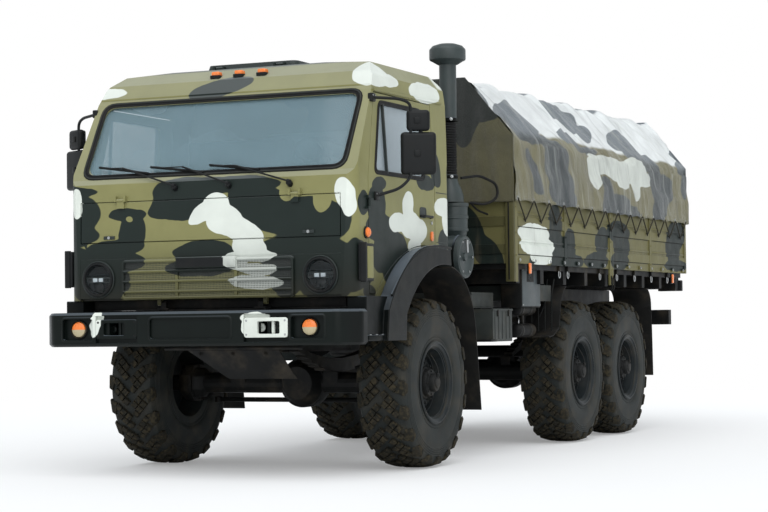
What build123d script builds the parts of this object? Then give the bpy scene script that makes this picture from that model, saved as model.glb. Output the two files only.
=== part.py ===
from build123d import *
from math import cos, radians, sin, tan
import os

# A six-wheel cargo truck with its cab over the front axle. Millimetres, +Z up.
# The front faces -Y and the vehicle's left is +X. The origin is on the ground,
# below the middle of the whole length.

os.makedirs("parts", exist_ok=True)

# Running gear layout
front_overhang = 1500.0
wheelbase = 3340.0
bogie_spacing = 1320.0
rear_overhang = 1940.0
track = 2060.0
tyre_radius = 622.0
tyre_width = 400.0
rim_radius = 254.0
rim_flange = 30.0
rim_half_width = 172.0
kingpin_track = 1580.0
spindle_radius = 60.0

# Frame
rail_spacing = 780.0
rail_height = 250.0
rail_flange = 90.0
rail_wall = 12.0
frame_top = 1190.0

# Cab, measured from the front axle where it is a length along the truck
cab_width = 2300.0
cab_front_reach = 1250.0
cab_rear_reach = 500.0
cab_sill = 1250.0
belt_height = 2085.0
screen_base = 2125.0
screen_top = 2705.0
roof_height = 2950.0
gutter_inset = 34.0
cab_wall = 45.0
cab_corner = 110.0
arch_floor = 1495.0
tunnel_width = 860.0
tunnel_top = 1560.0
shut_gap = 7.0
door_front = 1020.0
door_rear = 170.0
door_top = 2690.0
glass_thickness = 8.0
glass_depth = 18.0
flap_low = 1660.0
flap_high = 1960.0
flap_half_width = 1045.0
flap_wall = 16.0
grille_low = 1250.0
grille_high = 1548.0
grille_wall = 26.0

# Cargo body
body_width = 2502.0
body_front_reach = 1580.0
floor_bottom = 1490.0
board_bottom = 1534.0
board_height = 728.0
board_wall = 42.0
hem_height = 2030.0
eave_front = 2560.0
eave_rear = 2610.0
ridge_front = 3062.0
ridge_rear = 3120.0
ridge_half_width = 845.0
tarp_wall = 12.0
tailgate_wall = 40.0

# Seats between pieces and working gaps
seat_gap = 0.3
running_gap = 0.3
part_gap = 8.0

length = front_overhang + wheelbase + bogie_spacing + rear_overhang
front_y = -length / 2
rear_y = length / 2
axle_1 = front_y + front_overhang
axle_2 = axle_1 + wheelbase
axle_3 = axle_2 + bogie_spacing
bogie_y = (axle_2 + axle_3) / 2
hub_z = tyre_radius
wheel_x = track / 2
kingpin_x = kingpin_track / 2
rail_x = rail_spacing / 2
rail_outer = rail_x + rail_flange / 2
frame_bottom = frame_top - rail_height
cab_half = cab_width / 2
cab_front = axle_1 - cab_front_reach
cab_rear = axle_1 + cab_rear_reach
body_half = body_width / 2
body_front = axle_1 + body_front_reach
board_top = board_bottom + board_height


def block(x_span, y_span, z_span):
    """A box between pairs of limits on each axis."""
    with BuildPart() as piece:
        with BuildSketch(Plane.XY.offset(z_span[0])):
            with Locations(((x_span[0] + x_span[1]) / 2, (y_span[0] + y_span[1]) / 2)):
                Rectangle(x_span[1] - x_span[0], y_span[1] - y_span[0])
        extrude(amount=z_span[1] - z_span[0])
    return piece.part


def rod(start, end, radius, sides=0):
    """A bar from one point to another, round or with a few flat sides."""
    path = Vector(*end) - Vector(*start)
    with BuildPart() as piece:
        with BuildSketch(Plane(origin=start, z_dir=path)):
            if sides:
                RegularPolygon(radius, sides)
            else:
                Circle(radius)
        extrude(amount=path.length)
    return piece.part


def cross_rod(x_span, y, z, radius, sides=0):
    """A bar across the truck between two limits."""
    return rod((x_span[0], y, z), (x_span[1], y, z), radius, sides)


def bent_bar(points, radius, sides=8):
    """A bar along straight runs that meet in mitres."""
    with BuildPart() as piece:
        with BuildLine() as route:
            Polyline(*points)
        with BuildSketch(Plane(origin=route.line @ 0, z_dir=route.line % 0)):
            RegularPolygon(radius, sides)
        sweep(path=route.line, transition=Transition.RIGHT)
    return piece.part


def side_plate(points, x_span):
    """A flat outline in the side view, given a width across the truck."""
    with BuildPart() as piece:
        with BuildSketch(Plane.YZ.offset(x_span[0])):
            with BuildLine():
                Polyline(*points, close=True)
            make_face()
        extrude(amount=x_span[1] - x_span[0])
    return piece.part


def tube(start, end, radius, wall):
    """A round tube from one point to another."""
    path = Vector(*end) - Vector(*start)
    with BuildPart() as piece:
        with BuildSketch(Plane(origin=start, z_dir=path)):
            Circle(radius)
            Circle(radius - wall, mode=Mode.SUBTRACT)
        extrude(amount=path.length)
    return piece.part


# Wheel, made once with its middle at the origin: width outboard (+X) and radius
disc_offset = 60.0
disc_radius = 168.0
disc_wall = 14.0
hub_radius = 112.0
hub_nose = 176.0
hub_sides = 10
cap_radius = 66.0
cap_nose = 205.0
drum_inner = -8.0
spindle_reach = 30.0
wheel_sides = 20


def ring_section(x, radius, sides):
    """A many-sided section of the wheel, square to its axle."""
    with BuildSketch(Plane.YZ.offset(x)) as section:
        RegularPolygon(radius, sides, rotation=90)
    return section.sketch


def dish(face_x, face_radius, floor_x, floor_radius):
    """The hollow of a wheel's outer side, from its rim to its disc."""
    with BuildPart() as piece:
        add(ring_section(face_x, face_radius, wheel_sides))
        add(ring_section(floor_x, floor_radius, wheel_sides))
        loft(ruled=True)
    return piece.part


with BuildPart() as rim:
    extrude(ring_section(drum_inner, rim_radius, wheel_sides), amount=rim_half_width - drum_inner,
            dir=(1, 0, 0))
    add(dish(rim_half_width, rim_radius - 6, disc_offset, disc_radius), mode=Mode.SUBTRACT)
    extrude(ring_section(disc_offset - 1, hub_radius, hub_sides), amount=hub_nose - disc_offset + 1,
            dir=(1, 0, 0))
    extrude(ring_section(hub_nose - 1, cap_radius, hub_sides), amount=cap_nose - hub_nose + 1,
            dir=(1, 0, 0))
    add(rod((drum_inner - 1, 0, 0), (spindle_reach + part_gap, 0, 0), spindle_radius + running_gap),
        mode=Mode.SUBTRACT)

with BuildPart() as spare_rim:
    extrude(ring_section(-rim_half_width, rim_radius, wheel_sides), amount=2 * rim_half_width,
            dir=(1, 0, 0))
    add(dish(rim_half_width, rim_radius - 6, disc_offset, disc_radius), mode=Mode.SUBTRACT)
    add(dish(-rim_half_width, rim_radius - 14, disc_offset - disc_wall, disc_radius), mode=Mode.SUBTRACT)
    extrude(ring_section(disc_offset - disc_wall - 1, hub_radius, hub_sides), amount=disc_wall + 2,
            dir=(1, 0, 0),
            mode=Mode.SUBTRACT)

# Tyre: a many-sided carcass under two staggered rows of tread blocks
tread_blocks = wheel_sides
lug_depth = 26.0
lug_length = 96.0
shoulder_inset = 4.0
shoulder_drop = 46.0
tyre_half = tyre_width / 2
tread_half = tyre_half - shoulder_inset
tread_radius = tyre_radius - lug_depth
block_angle = 360 / tread_blocks
bead_half = rim_half_width - seat_gap
# Half width, radius
tyre_rings = [
    (bead_half, rim_radius + rim_flange),
    (tread_half, tread_radius - shoulder_drop),
]
with BuildPart() as tyre:
    for half_width, radius in tyre_rings + [(-w, r) for w, r in reversed(tyre_rings)]:
        with BuildSketch(Plane.YZ.offset(half_width)):
            RegularPolygon(radius, tread_blocks, rotation=90)
    loft(ruled=True)
    for row in (1, -1):
        turn = 90 if row > 0 else 90 + block_angle / 2
        with BuildSketch(Plane.YZ):
            RegularPolygon(tread_radius, tread_blocks, rotation=turn)
            with PolarLocations(tyre_radius - lug_depth, tread_blocks, start_angle=turn):
                Rectangle(2 * lug_depth, lug_length)
        extrude(amount=row * tread_half)
    with BuildSketch(Plane.YZ.offset(-tyre_half)):
        RegularPolygon(rim_radius + seat_gap, tread_blocks, rotation=90)
    extrude(amount=tyre_width, mode=Mode.SUBTRACT)

# Name, axle position, side (+1 left)
wheels = [
    ("front_left", axle_1, 1),
    ("front_right", axle_1, -1),
    ("middle_left", axle_2, 1),
    ("middle_right", axle_2, -1),
    ("rear_left", axle_3, 1),
    ("rear_right", axle_3, -1),
]
for name, y, side in wheels:
    place = Location((side * wheel_x, y, hub_z), (0, 0, 90 - 90 * side))
    placed_tyre = tyre.part.moved(place)
    placed_tyre.label = f"tyre_{name}"
    export_step(placed_tyre, f"parts/tyre_{name}.step")
    placed_rim = rim.part.moved(place)
    placed_rim.label = f"rim_{name}"
    export_step(placed_rim, f"parts/rim_{name}.step")

# Spare wheel, upright across the truck behind the cab, its disc to the rear
spare_x = -430.0
spare_y = cab_rear + 590
spare_z = 2075.0
spare_place = Location((spare_x, spare_y, spare_z), (0, 0, 90))
spare_tyre_placed = tyre.part.moved(spare_place)
spare_tyre_placed.label = "spare_tyre"
export_step(spare_tyre_placed, "parts/spare_tyre.step")
spare_rim_placed = spare_rim.part.moved(spare_place)
spare_rim_placed.label = "spare_rim"
export_step(spare_rim_placed, "parts/spare_rim.step")

# Front bumper sizes
bumper_low = 920.0
bumper_high = 1162.0
bumper_half = 1250.0
bumper_flat_half = 1130.0
bumper_depth = 230.0
bumper_wall = 8.0
bumper_end = 150.0
bumper_corner = 70.0
bumper_edge = 18.0
indicator_x = 912.0
indicator_z = 1046.0
indicator_radius = 56.0
indicator_reach = 22.0
recess_depth = 34.0
jaw_x = 592.0
jaw_width = 340.0
jaw_high = 1138.0
jaw_low = 945.0
jaw_pin_radius = 16.0
jaw_wall = 12.0
jaw_frame = 20.0
mouth_half = 70.0
mouth_margin = 48.0

# Frame: two channel rails with cross members and brackets
rail_front = front_y + 300
rail_rear = rear_y - 260
member_depth = 110.0
member_length = 90.0
member_places = [
    rail_front + 60,
    axle_1 - 880,
    axle_1 + 1530,
    axle_2 - 700,
    bogie_y,
    axle_3 + 760,
    rail_rear - 60,
]
leaf_wall = 17.0
front_leaf_count = 5
rear_leaf_count = 6
front_spring_sag = 92.0
rear_spring_sag = 95.0
axle_tube = 78.0
axle_pad = 6.0
spring_seat_z = hub_z + axle_tube + axle_pad
trunnion_z = 790.0
trunnion_radius = 55.0
trunnion_reach = rail_outer + 130
spring_x = rail_x
front_spring_half = 700.0
spring_width = 80.0
front_pack_z = spring_seat_z + seat_gap + front_leaf_count * leaf_wall
rear_pack_z = trunnion_z + trunnion_radius + seat_gap + leaf_wall
front_spring_reach = front_spring_half - 20
rear_spring_reach = bogie_spacing / 2 - 10


def leaf_radius(half_span, sag):
    """Radius of the arch whose ends stand off its middle by the sag."""
    return (half_span**2 + sag**2) / (2 * sag)


def leaf_tip(half_span, sag):
    """How far the main leaf's tip stands off the line through its middle."""
    radius = leaf_radius(half_span, sag)
    return radius - (radius - leaf_wall) * cos(half_span / radius)


front_tip_z = front_pack_z + leaf_tip(front_spring_reach, front_spring_sag)
rear_tip_z = rear_pack_z - leaf_tip(rear_spring_reach, rear_spring_sag)
tilt_x = rail_x
tilt_y = cab_front + 80
tilt_z = 1222.0
tilt_radius = 16.0
tilt_pin_radius = 9.0
tilt_ear_width = 40.0
tilt_lug_width = 30.0
rest_half = 640.0
rest_y = axle_1 + 430
rest_width = 60.0
rest_low = 1440.0
underrun_y = rear_y - 250
underrun_half = 1120.0
underrun_low = 1015.0
underrun_high = 1165.0
with BuildPart() as frame:
    with BuildSketch(Plane.XZ.offset(-rail_front)):
        with Locations((rail_x, frame_top - rail_height / 2)):
            Rectangle(rail_flange, rail_height)
        with Locations((rail_x - rail_wall, frame_top - rail_height / 2)):
            Rectangle(rail_flange, rail_height - 2 * rail_wall, mode=Mode.SUBTRACT)
    extrude(amount=-(rail_rear - rail_front))
    for y in member_places:
        add(block((0, rail_outer - rail_wall), (y - member_length / 2, y + member_length / 2),
                  (frame_top - rail_wall - member_depth, frame_top - rail_wall)))
    # Hangers of the front springs
    for end in (-1, 1):
        y = axle_1 + end * front_spring_half
        add(side_plate([(y - 60, frame_bottom + 30), (y + 60, frame_bottom + 30),
                        (y + 40, front_tip_z + seat_gap), (y - 40, front_tip_z + seat_gap)],
                       (spring_x - spring_width / 2, spring_x + spring_width / 2)))
    # Ears and pins of the cab's front pivots
    add(block((tilt_x - tilt_ear_width / 2, tilt_x + tilt_ear_width / 2),
              (tilt_y - tilt_radius, tilt_y + tilt_radius),
              (frame_top - 1, tilt_z)))
    add(rod((tilt_x - tilt_ear_width / 2, tilt_y, tilt_z), (tilt_x + tilt_ear_width / 2, tilt_y, tilt_z),
            tilt_radius, sides=12))
    add(rod((tilt_x, tilt_y, tilt_z), (tilt_x + tilt_ear_width / 2 + tilt_lug_width + 2, tilt_y, tilt_z),
            tilt_pin_radius, sides=8))
    # Beam that the cab's rear floor rests on
    add(block((0, rest_half), (rest_y, rest_y + rest_width), (rest_low, arch_floor - seat_gap)))
    add(block((rail_x - 35, rail_x + 35), (rest_y, rest_y + rest_width), (frame_top - 1, rest_low)))
    # Bumper brackets
    add(block((rail_x - 50, rail_x + 8), (front_y + bumper_wall + seat_gap, rail_front + 120),
              (frame_top - 200, frame_top - 60)))
    # Rear underrun beam on its two hangers
    add(block((0, underrun_half), (underrun_y, underrun_y + 90), (underrun_low, underrun_high)))
    add(block((rail_x - 40, rail_x + 40), (rail_rear - 160, underrun_y + 90),
              (underrun_low, underrun_high)))
    mirror(about=Plane.YZ)
frame.part.label = "frame"
export_step(frame.part, "parts/frame.step")

# Trunnion of the rear springs: a cross shaft under the rails, with a bracket on each web
bracket_wall = 20.0
with BuildPart() as trunnion:
    add(side_plate([(bogie_y - 190, frame_bottom + 140), (bogie_y + 190, frame_bottom + 140),
                    (bogie_y + 190, frame_bottom + 60), (bogie_y + 90, trunnion_z - 80),
                    (bogie_y - 90, trunnion_z - 80), (bogie_y - 190, frame_bottom + 60)],
                   (rail_outer + seat_gap, rail_outer + bracket_wall)))
    add(rod((0, bogie_y, trunnion_z), (trunnion_reach, bogie_y, trunnion_z), trunnion_radius, sides=16))
    mirror(about=Plane.YZ)
trunnion.part.label = "trunnion"
export_step(trunnion.part, "parts/trunnion.step")


def leaf_pack(y_middle, z_middle, half_span, sag, leaves, x_span):
    """A stack of arched leaves. A positive sag holds the ends up, a negative one down."""
    bend = 1 if sag > 0 else -1
    radius = leaf_radius(half_span, abs(sag))
    centre_z = z_middle + bend * radius
    with BuildPart() as piece:
        for index in range(leaves):
            reach = half_span * (1 - index / (leaves + 1.5))
            inner = radius + index * leaf_wall - (leaf_wall if index == 0 else 0)
            outer = radius + (index + 1) * leaf_wall
            swing = reach / radius
            corners = []
            for r in (inner, outer):
                for turn in (-swing, 0, swing):
                    corners.append((y_middle + r * sin(turn), centre_z - bend * r * cos(turn)))
            with BuildSketch(Plane.YZ.offset(x_span[0])):
                with BuildLine():
                    ThreePointArc(corners[0], corners[1], corners[2])
                    Line(corners[2], corners[5])
                    ThreePointArc(corners[5], corners[4], corners[3])
                    Line(corners[3], corners[0])
                make_face()
            extrude(amount=x_span[1] - x_span[0])
    return piece.part


rear_spring_x = trunnion_reach - 60
with BuildPart() as leaf_springs:
    add(leaf_pack(axle_1, front_pack_z, front_spring_reach, front_spring_sag, front_leaf_count,
                  (spring_x - spring_width / 2, spring_x + spring_width / 2)))
    add(leaf_pack(bogie_y, rear_pack_z, rear_spring_reach, -rear_spring_sag, rear_leaf_count,
                  (rear_spring_x - spring_width / 2, rear_spring_x + spring_width / 2)))
    mirror(about=Plane.YZ)
leaf_springs.part.label = "leaf_springs"
export_step(leaf_springs.part, "parts/leaf_springs.step")

# Front axle with its offset differential and ball ends, and its swivel hubs
diff_radius = 185.0
front_diff_x = 145.0
ball_radius = 118.0
swivel_wall = 24.0
kingpin_radius = 22.0
arm_reach = 340.0
arm_drop = 104.0
arm_wall = 26.0
rod_radius = 19.0
ball_pin_radius = 16.0
swivel_inner = ball_radius + running_gap
swivel_outer = swivel_inner + swivel_wall


def barrel(side, radius):
    """A housing turned about the kingpin: a straight waist between two cones."""
    with BuildPart() as piece:
        with BuildSketch(Plane((side * kingpin_x, axle_1, hub_z), x_dir=(1, 0, 0), z_dir=(0, -1, 0))):
            Polygon((0, -radius), (radius * 0.62, -radius * 0.92), (radius, -radius * 0.42),
                    (radius, radius * 0.42),
                    (radius * 0.62, radius * 0.92), (0, radius), align=None)
        revolve(axis=Axis((side * kingpin_x, axle_1, hub_z), (0, 0, 1)))
    return piece.part


with BuildPart() as front_axle:
    add(rod((-kingpin_x, axle_1, hub_z), (kingpin_x, axle_1, hub_z), axle_tube, sides=16))
    for side in (1, -1):
        add(barrel(side, ball_radius))
    with BuildSketch(Plane.XZ.offset(-axle_1 - 60)):
        with Locations((front_diff_x, hub_z)):
            Circle(diff_radius)
    extrude(amount=120)
    with BuildSketch(Plane.XZ.offset(-axle_1 + 60)):
        with Locations((front_diff_x, hub_z)):
            Circle(diff_radius - 10)
    extrude(amount=90, taper=30)
    add(rod((front_diff_x, axle_1, hub_z), (front_diff_x, axle_1 + 300, hub_z + 30), 72, sides=10))
    for side in (1, -1):
        add(block((side * spring_x - 60, side * spring_x + 60), (axle_1 - 80, axle_1 + 80),
                  (hub_z, spring_seat_z)))
        pin = rod((side * kingpin_x, axle_1, hub_z - ball_radius - swivel_wall),
                  (side * kingpin_x, axle_1, hub_z + ball_radius + swivel_wall), kingpin_radius)
        add(pin)
front_axle.part.label = "front_axle"
export_step(front_axle.part, "parts/front_axle.step")

arm_x = kingpin_x
arm_y = axle_1 + arm_reach
arm_z = hub_z - arm_drop
mouth_z = hub_z - axle_tube - axle_pad


def make_knuckle(side):
    """Swivel housing round the axle's ball, with its spindle and its steering arm."""
    with BuildPart() as piece:
        add(barrel(side, swivel_outer))
        add(rod((side * kingpin_x, axle_1, hub_z), (side * (wheel_x + spindle_reach), axle_1, hub_z),
                spindle_radius, sides=16))
        with BuildSketch(Plane.XY.offset(arm_z - arm_wall / 2)):
            with BuildLine():
                Polyline(
                    (side * (kingpin_x - 60), axle_1 + 60),
                    (side * (kingpin_x + 40), axle_1 + 60),
                    (side * (arm_x + 24), axle_1 + 150),
                    (side * (arm_x + 24), arm_y + 20),
                    (side * (arm_x - 24), arm_y + 20),
                    (side * (arm_x - 24), axle_1 + 150),
                    close=True,
                )
            make_face()
        extrude(amount=arm_wall)
        add(rod((side * arm_x, arm_y, arm_z - 60), (side * arm_x, arm_y, arm_z), ball_pin_radius, sides=8))
        add(barrel(side, swivel_inner), mode=Mode.SUBTRACT)
        inboard = side * (kingpin_x - 18)
        add(block(sorted((inboard, inboard - side * 400)), (axle_1 - 200, axle_1 + 200),
                  (mouth_z, hub_z + 300)),
            mode=Mode.SUBTRACT)
        add(block(sorted((inboard, inboard - side * 400)), (axle_1 - 160, axle_1 + 52),
                  (hub_z - 300, mouth_z)),
            mode=Mode.SUBTRACT)
        add(rod((side * kingpin_x, axle_1, hub_z - swivel_outer - 40),
                (side * kingpin_x, axle_1, hub_z + swivel_outer + 40),
                kingpin_radius + running_gap), mode=Mode.SUBTRACT)
    return piece.part


for name, side in (("left", 1), ("right", -1)):
    knuckle = make_knuckle(side)
    knuckle.label = f"knuckle_{name}"
    export_step(knuckle, f"parts/knuckle_{name}.step")

# Tie rod behind the front axle, with an eye on each arm's pin
eye_radius = 32.0
tie_z = arm_z - arm_wall / 2 - 26
with BuildPart() as tie_rod:
    add(rod((-arm_x, arm_y, tie_z), (arm_x, arm_y, tie_z), rod_radius, sides=8))
    for side in (1, -1):
        add(rod((side * arm_x, arm_y, tie_z - 22), (side * arm_x, arm_y, tie_z + 22), eye_radius, sides=8))
        add(rod((side * arm_x, arm_y, tie_z - 60), (side * arm_x, arm_y, tie_z + 60),
                ball_pin_radius + running_gap), mode=Mode.SUBTRACT)
tie_rod.part.label = "tie_rod"
export_step(tie_rod.part, "parts/tie_rod.step")

# Rear axles with their differentials, spring pads and torque rods
rear_tube = 82.0
with BuildPart() as rear_axles:
    for y in (axle_2, axle_3):
        reach = wheel_x + spindle_reach
        add(rod((-reach, y, hub_z), (reach, y, hub_z), spindle_radius, sides=16))
        inner = wheel_x + drum_inner - 20
        add(rod((-inner, y, hub_z), (inner, y, hub_z), rear_tube, sides=16))
        with BuildSketch(Plane.XZ.offset(-y - 70)):
            with Locations((0, hub_z)):
                Circle(diff_radius + 15)
        extrude(amount=140)
        with BuildSketch(Plane.XZ.offset(-y + 70)):
            with Locations((0, hub_z)):
                Circle(diff_radius)
        extrude(amount=80, taper=30)
        add(rod((0, y, hub_z + 60), (0, y - 330, hub_z + 90), 70, sides=10))
        for side in (1, -1):
            x = side * rear_spring_x
            add(block((x - 45, x + 45), (y - 60, y + 60), (hub_z, rear_tip_z - seat_gap)))
    # Lower torque rods from the trunnion brackets to the axles
    for side in (1, -1):
        for y, end in ((axle_2, 1), (axle_3, -1)):
            add(rod((side * (rail_x - 70), y, hub_z - 20),
                    (side * (rail_x - 70), bogie_y - end * 60, trunnion_z - 60), 26, sides=8))
rear_axles.part.label = "rear_axles"
export_step(rear_axles.part, "parts/rear_axles.step")

# Engine as a plain block with the radiator ahead of it
engine_half = 330.0
engine_front = axle_1 - 760
engine_rear = axle_1 + 420
engine_low = 860.0
engine_high = 1470.0
radiator_half = 400.0
radiator_front = axle_1 - 1080
radiator_wall = 110.0
radiator_high = 1520.0
with BuildPart() as engine:
    add(block((-engine_half, engine_half), (engine_front, engine_rear), (engine_low, engine_high)))
    add(block((-radiator_half, radiator_half), (radiator_front, radiator_front + radiator_wall),
              (frame_top + seat_gap, radiator_high)))
    # Feet that rest against the rails' webs
    for side in (1, -1):
        for y in (engine_front + 200, engine_rear - 160):
            add(block(sorted((side * (engine_half - 10), side * (rail_outer - rail_wall - seat_gap))),
                      (y - 60, y + 60),
                      (frame_bottom + 50, frame_bottom + 150)))
engine.part.label = "engine"
export_step(engine.part, "parts/engine.step")

# Gearbox, transfer case and propeller shafts
gearbox_z = 980.0
gearbox_radius = 150.0
gearbox_rear = axle_1 + 1350
transfer_front = axle_1 + 1700
transfer_rear = axle_1 + 2150
transfer_low = 640.0
transfer_half = 210.0
shaft_radius = 42.0
pinion_end = axle_1 + 300
pinion_z = hub_z + 30
joint_gap = 6.0
rear_pinion_z = hub_z + 90
with BuildPart() as driveline:
    with BuildSketch(Plane.XZ.offset(-engine_rear - seat_gap)):
        with Locations((0, gearbox_z + 60)):
            Circle(240)
    extrude(amount=-240, taper=22)
    add(rod((0, engine_rear + 100, gearbox_z), (0, gearbox_rear, gearbox_z), gearbox_radius, sides=12))
    add(rod((0, gearbox_rear - 20, gearbox_z), (0, transfer_front + 20, gearbox_z - 40), shaft_radius,
            sides=8))
    add(block((-transfer_half, transfer_half), (transfer_front, transfer_rear), (transfer_low + 60, 1100)))
    add(block((-rail_x + 35 + seat_gap, rail_x - 35 - seat_gap), (transfer_front + 60, transfer_rear - 60),
              (1010, 1060)))
    add(rod((0, transfer_rear - 30, 800), (0, axle_2 - 330 - joint_gap, rear_pinion_z + 1), shaft_radius,
            sides=8))
    add(rod((front_diff_x, transfer_front + 60, 740), (front_diff_x, pinion_end + joint_gap, pinion_z + 1),
            shaft_radius, sides=8))
driveline.part.label = "driveline"
export_step(driveline.part, "parts/driveline.step")

# Front bumper: a pressed box beam with rounded ends, recesses and tow jaws
with BuildPart() as front_bumper:
    with BuildSketch(Plane.XY.offset(bumper_low)):
        with BuildLine():
            Polyline(
                (-bumper_flat_half, front_y),
                (bumper_flat_half, front_y),
                (bumper_half, front_y + bumper_end),
                (bumper_half, front_y + bumper_depth),
                (-bumper_half, front_y + bumper_depth),
                (-bumper_half, front_y + bumper_end),
                close=True,
            )
        make_face()
    extrude(amount=bumper_high - bumper_low)
    corners = front_bumper.edges().filter_by(Axis.Z).sort_by(Axis.Y)[0:4]
    fillet(corners, radius=bumper_corner)
    chamfer(front_bumper.faces().sort_by(Axis.Y)[0].edges().filter_by(Axis.X), length=bumper_edge)
    back = front_bumper.faces().sort_by(Axis.Y)[-1]
    offset(amount=-bumper_wall, openings=back)
    # Middle panel and the lamp pockets, pressed inwards
    pockets = [
        (0.0, 640.0, 150.0, indicator_z),
        (indicator_x, 250.0, 156.0, indicator_z),
        (-indicator_x, 250.0, 156.0, indicator_z),
    ]
    for x, width, height, z in pockets:
        add(block((x - width / 2 - bumper_wall, x + width / 2 + bumper_wall),
                  (front_y + 1, front_y + recess_depth + bumper_wall),
                  (z - height / 2 - bumper_wall, z + height / 2 + bumper_wall)))
        add(block((x - width / 2, x + width / 2), (front_y - 1, front_y + recess_depth),
                  (z - height / 2, z + height / 2)), mode=Mode.SUBTRACT)
    # Tow openings with a plate, two cheeks and an upright pin
    for side in (1, -1):
        x = side * jaw_x
        add(block((x - jaw_width / 2 - jaw_frame, x + jaw_width / 2 + jaw_frame),
                  (front_y + jaw_wall, front_y + bumper_depth),
                  (jaw_low - jaw_wall, jaw_high + jaw_wall)))
        add(block((x - jaw_width / 2, x + jaw_width / 2), (front_y - 1, front_y + 24), (jaw_low, jaw_high)),
            mode=Mode.SUBTRACT)
        add(block((x - mouth_half, x + mouth_half), (front_y - 1, front_y + 170),
                  (jaw_low + mouth_margin, jaw_high - mouth_margin)), mode=Mode.SUBTRACT)
        add(rod((x, front_y + 60, jaw_low - jaw_wall), (x, front_y + 60, jaw_high + jaw_wall),
                jaw_pin_radius))
front_bumper.part.label = "front_bumper"
export_step(front_bumper.part, "parts/front_bumper.step")

# Lamps carried by the chassis: two in the bumper, two at the back
rear_lamp_x = 1105.0
rear_lamp_z = 1410.0
rear_lamp_back = rear_y - 60
with BuildPart() as chassis_lamps:
    for side in (1, -1):
        add(rod((side * indicator_x, front_y + recess_depth - seat_gap, indicator_z),
                (side * indicator_x, front_y + recess_depth - indicator_reach - 8, indicator_z),
                indicator_radius))
        add(block((side * rear_lamp_x - 120, side * rear_lamp_x + 120),
                  (rear_lamp_back - 70, rear_lamp_back),
                  (rear_lamp_z - 55, rear_lamp_z + 55)))
chassis_lamps.part.label = "chassis_lamps"
export_step(chassis_lamps.part, "parts/chassis_lamps.step")

# Cargo floor on sills and cross bearers
board_rear = rear_y - 26
sill_width = 90.0
bearer_count = 9
bearer_width = 80.0
bearer_low = 1375.0
floor_half = body_half - board_wall - seat_gap - 8
floor_front = body_front + board_wall + seat_gap
floor_rear = board_rear - tailgate_wall - part_gap
bearer_step = (floor_rear - floor_front - 300) / (bearer_count - 1)
gate_hinges = (-900.0, -300.0, 300.0, 900.0)
gate_hinge_y = board_rear + 16
gate_hinge_z = floor_bottom + 42
gate_barrel = 60.0
gate_lug = 20.0
gate_eye = 10.0
gate_pin = 5.0
gate_leaf = 160.0
leaf_clear = 3.0
floor_rise = 16.0
with BuildPart() as cargo_floor:
    add(block((-floor_half, floor_half), (floor_front, floor_rear),
              (floor_bottom, board_bottom + floor_rise)))
    for index in range(bearer_count):
        y = floor_front + 150 + index * bearer_step
        add(block((-floor_half, floor_half), (y - bearer_width / 2, y + bearer_width / 2),
                  (bearer_low, floor_bottom)))
    for side in (1, -1):
        add(block((side * rail_x - sill_width / 2, side * rail_x + sill_width / 2),
                  (floor_front, floor_rear),
                  (frame_top + seat_gap, bearer_low)))
        # Bracket of the rear lamp
        add(block((side * rear_lamp_x - 90, side * rear_lamp_x + 90),
                  (rear_lamp_back - 200, rear_lamp_back - 70 - seat_gap),
                  (rear_lamp_z - 55, floor_bottom)))
    # Lugs and pins of the tailgate's hinges
    for x in gate_hinges:
        for end in (-1, 1):
            low = x + end * (gate_barrel / 2 + 1)
            add(block(sorted((low, low + end * gate_lug)), (floor_rear - 1, gate_hinge_y),
                      (gate_hinge_z - gate_eye, gate_hinge_z + gate_eye)))
            add(cross_rod((low, low + end * gate_lug), gate_hinge_y, gate_hinge_z, gate_eye, sides=8))
        reach = gate_barrel / 2 + 1 + gate_lug
        add(cross_rod((x - reach, x + reach), gate_hinge_y, gate_hinge_z, gate_pin, sides=8))
cargo_floor.part.label = "cargo_floor"
export_step(cargo_floor.part, "parts/cargo_floor.step")

# Drop sides and headboard of pressed boards between posts, open at the back
post_width = 70.0
post_proud = 12.0
band_height = 78.0
band_proud = 10.0
band_heights = (0.16, 0.47, 0.78)
side_bays = 4
front_post_low = 1385.0
board_outer = body_half - post_proud
bay_length = (board_rear - body_front) / side_bays
with BuildPart() as cargo_boards:
    with BuildSketch(Plane.XY.offset(board_bottom)):
        with BuildLine():
            Polyline(
                (board_outer, board_rear),
                (board_outer, body_front + post_proud),
                (-board_outer, body_front + post_proud),
                (-board_outer, board_rear),
                (-board_outer + board_wall - post_proud, board_rear),
                (-board_outer + board_wall - post_proud, body_front + board_wall),
                (board_outer - board_wall + post_proud, body_front + board_wall),
                (board_outer - board_wall + post_proud, board_rear),
                close=True,
            )
        make_face()
    extrude(amount=board_height)
    for share in band_heights:
        z = board_bottom + share * board_height
        for side in (1, -1):
            add(block(sorted((side * (board_outer - 4), side * (board_outer + band_proud))),
                      (body_front + 90, board_rear - 70), (z - band_height / 2, z + band_height / 2)))
        add(block((-board_outer + 60, board_outer - 60),
                  (body_front + post_proud - band_proud, body_front + board_wall - 4),
                  (z - band_height / 2, z + band_height / 2)))
    for index in range(side_bays + 1):
        y_low = body_front + index * bay_length - post_width / 2
        y_low = min(max(y_low, body_front), board_rear - post_width)
        low = front_post_low if index == 0 else board_bottom
        for side in (1, -1):
            add(block(sorted((side * (board_outer - 10), side * body_half)), (y_low, y_low + post_width),
                      (low, board_top)))
cargo_boards.part.label = "cargo_boards"
export_step(cargo_boards.part, "parts/cargo_boards.step")

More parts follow.
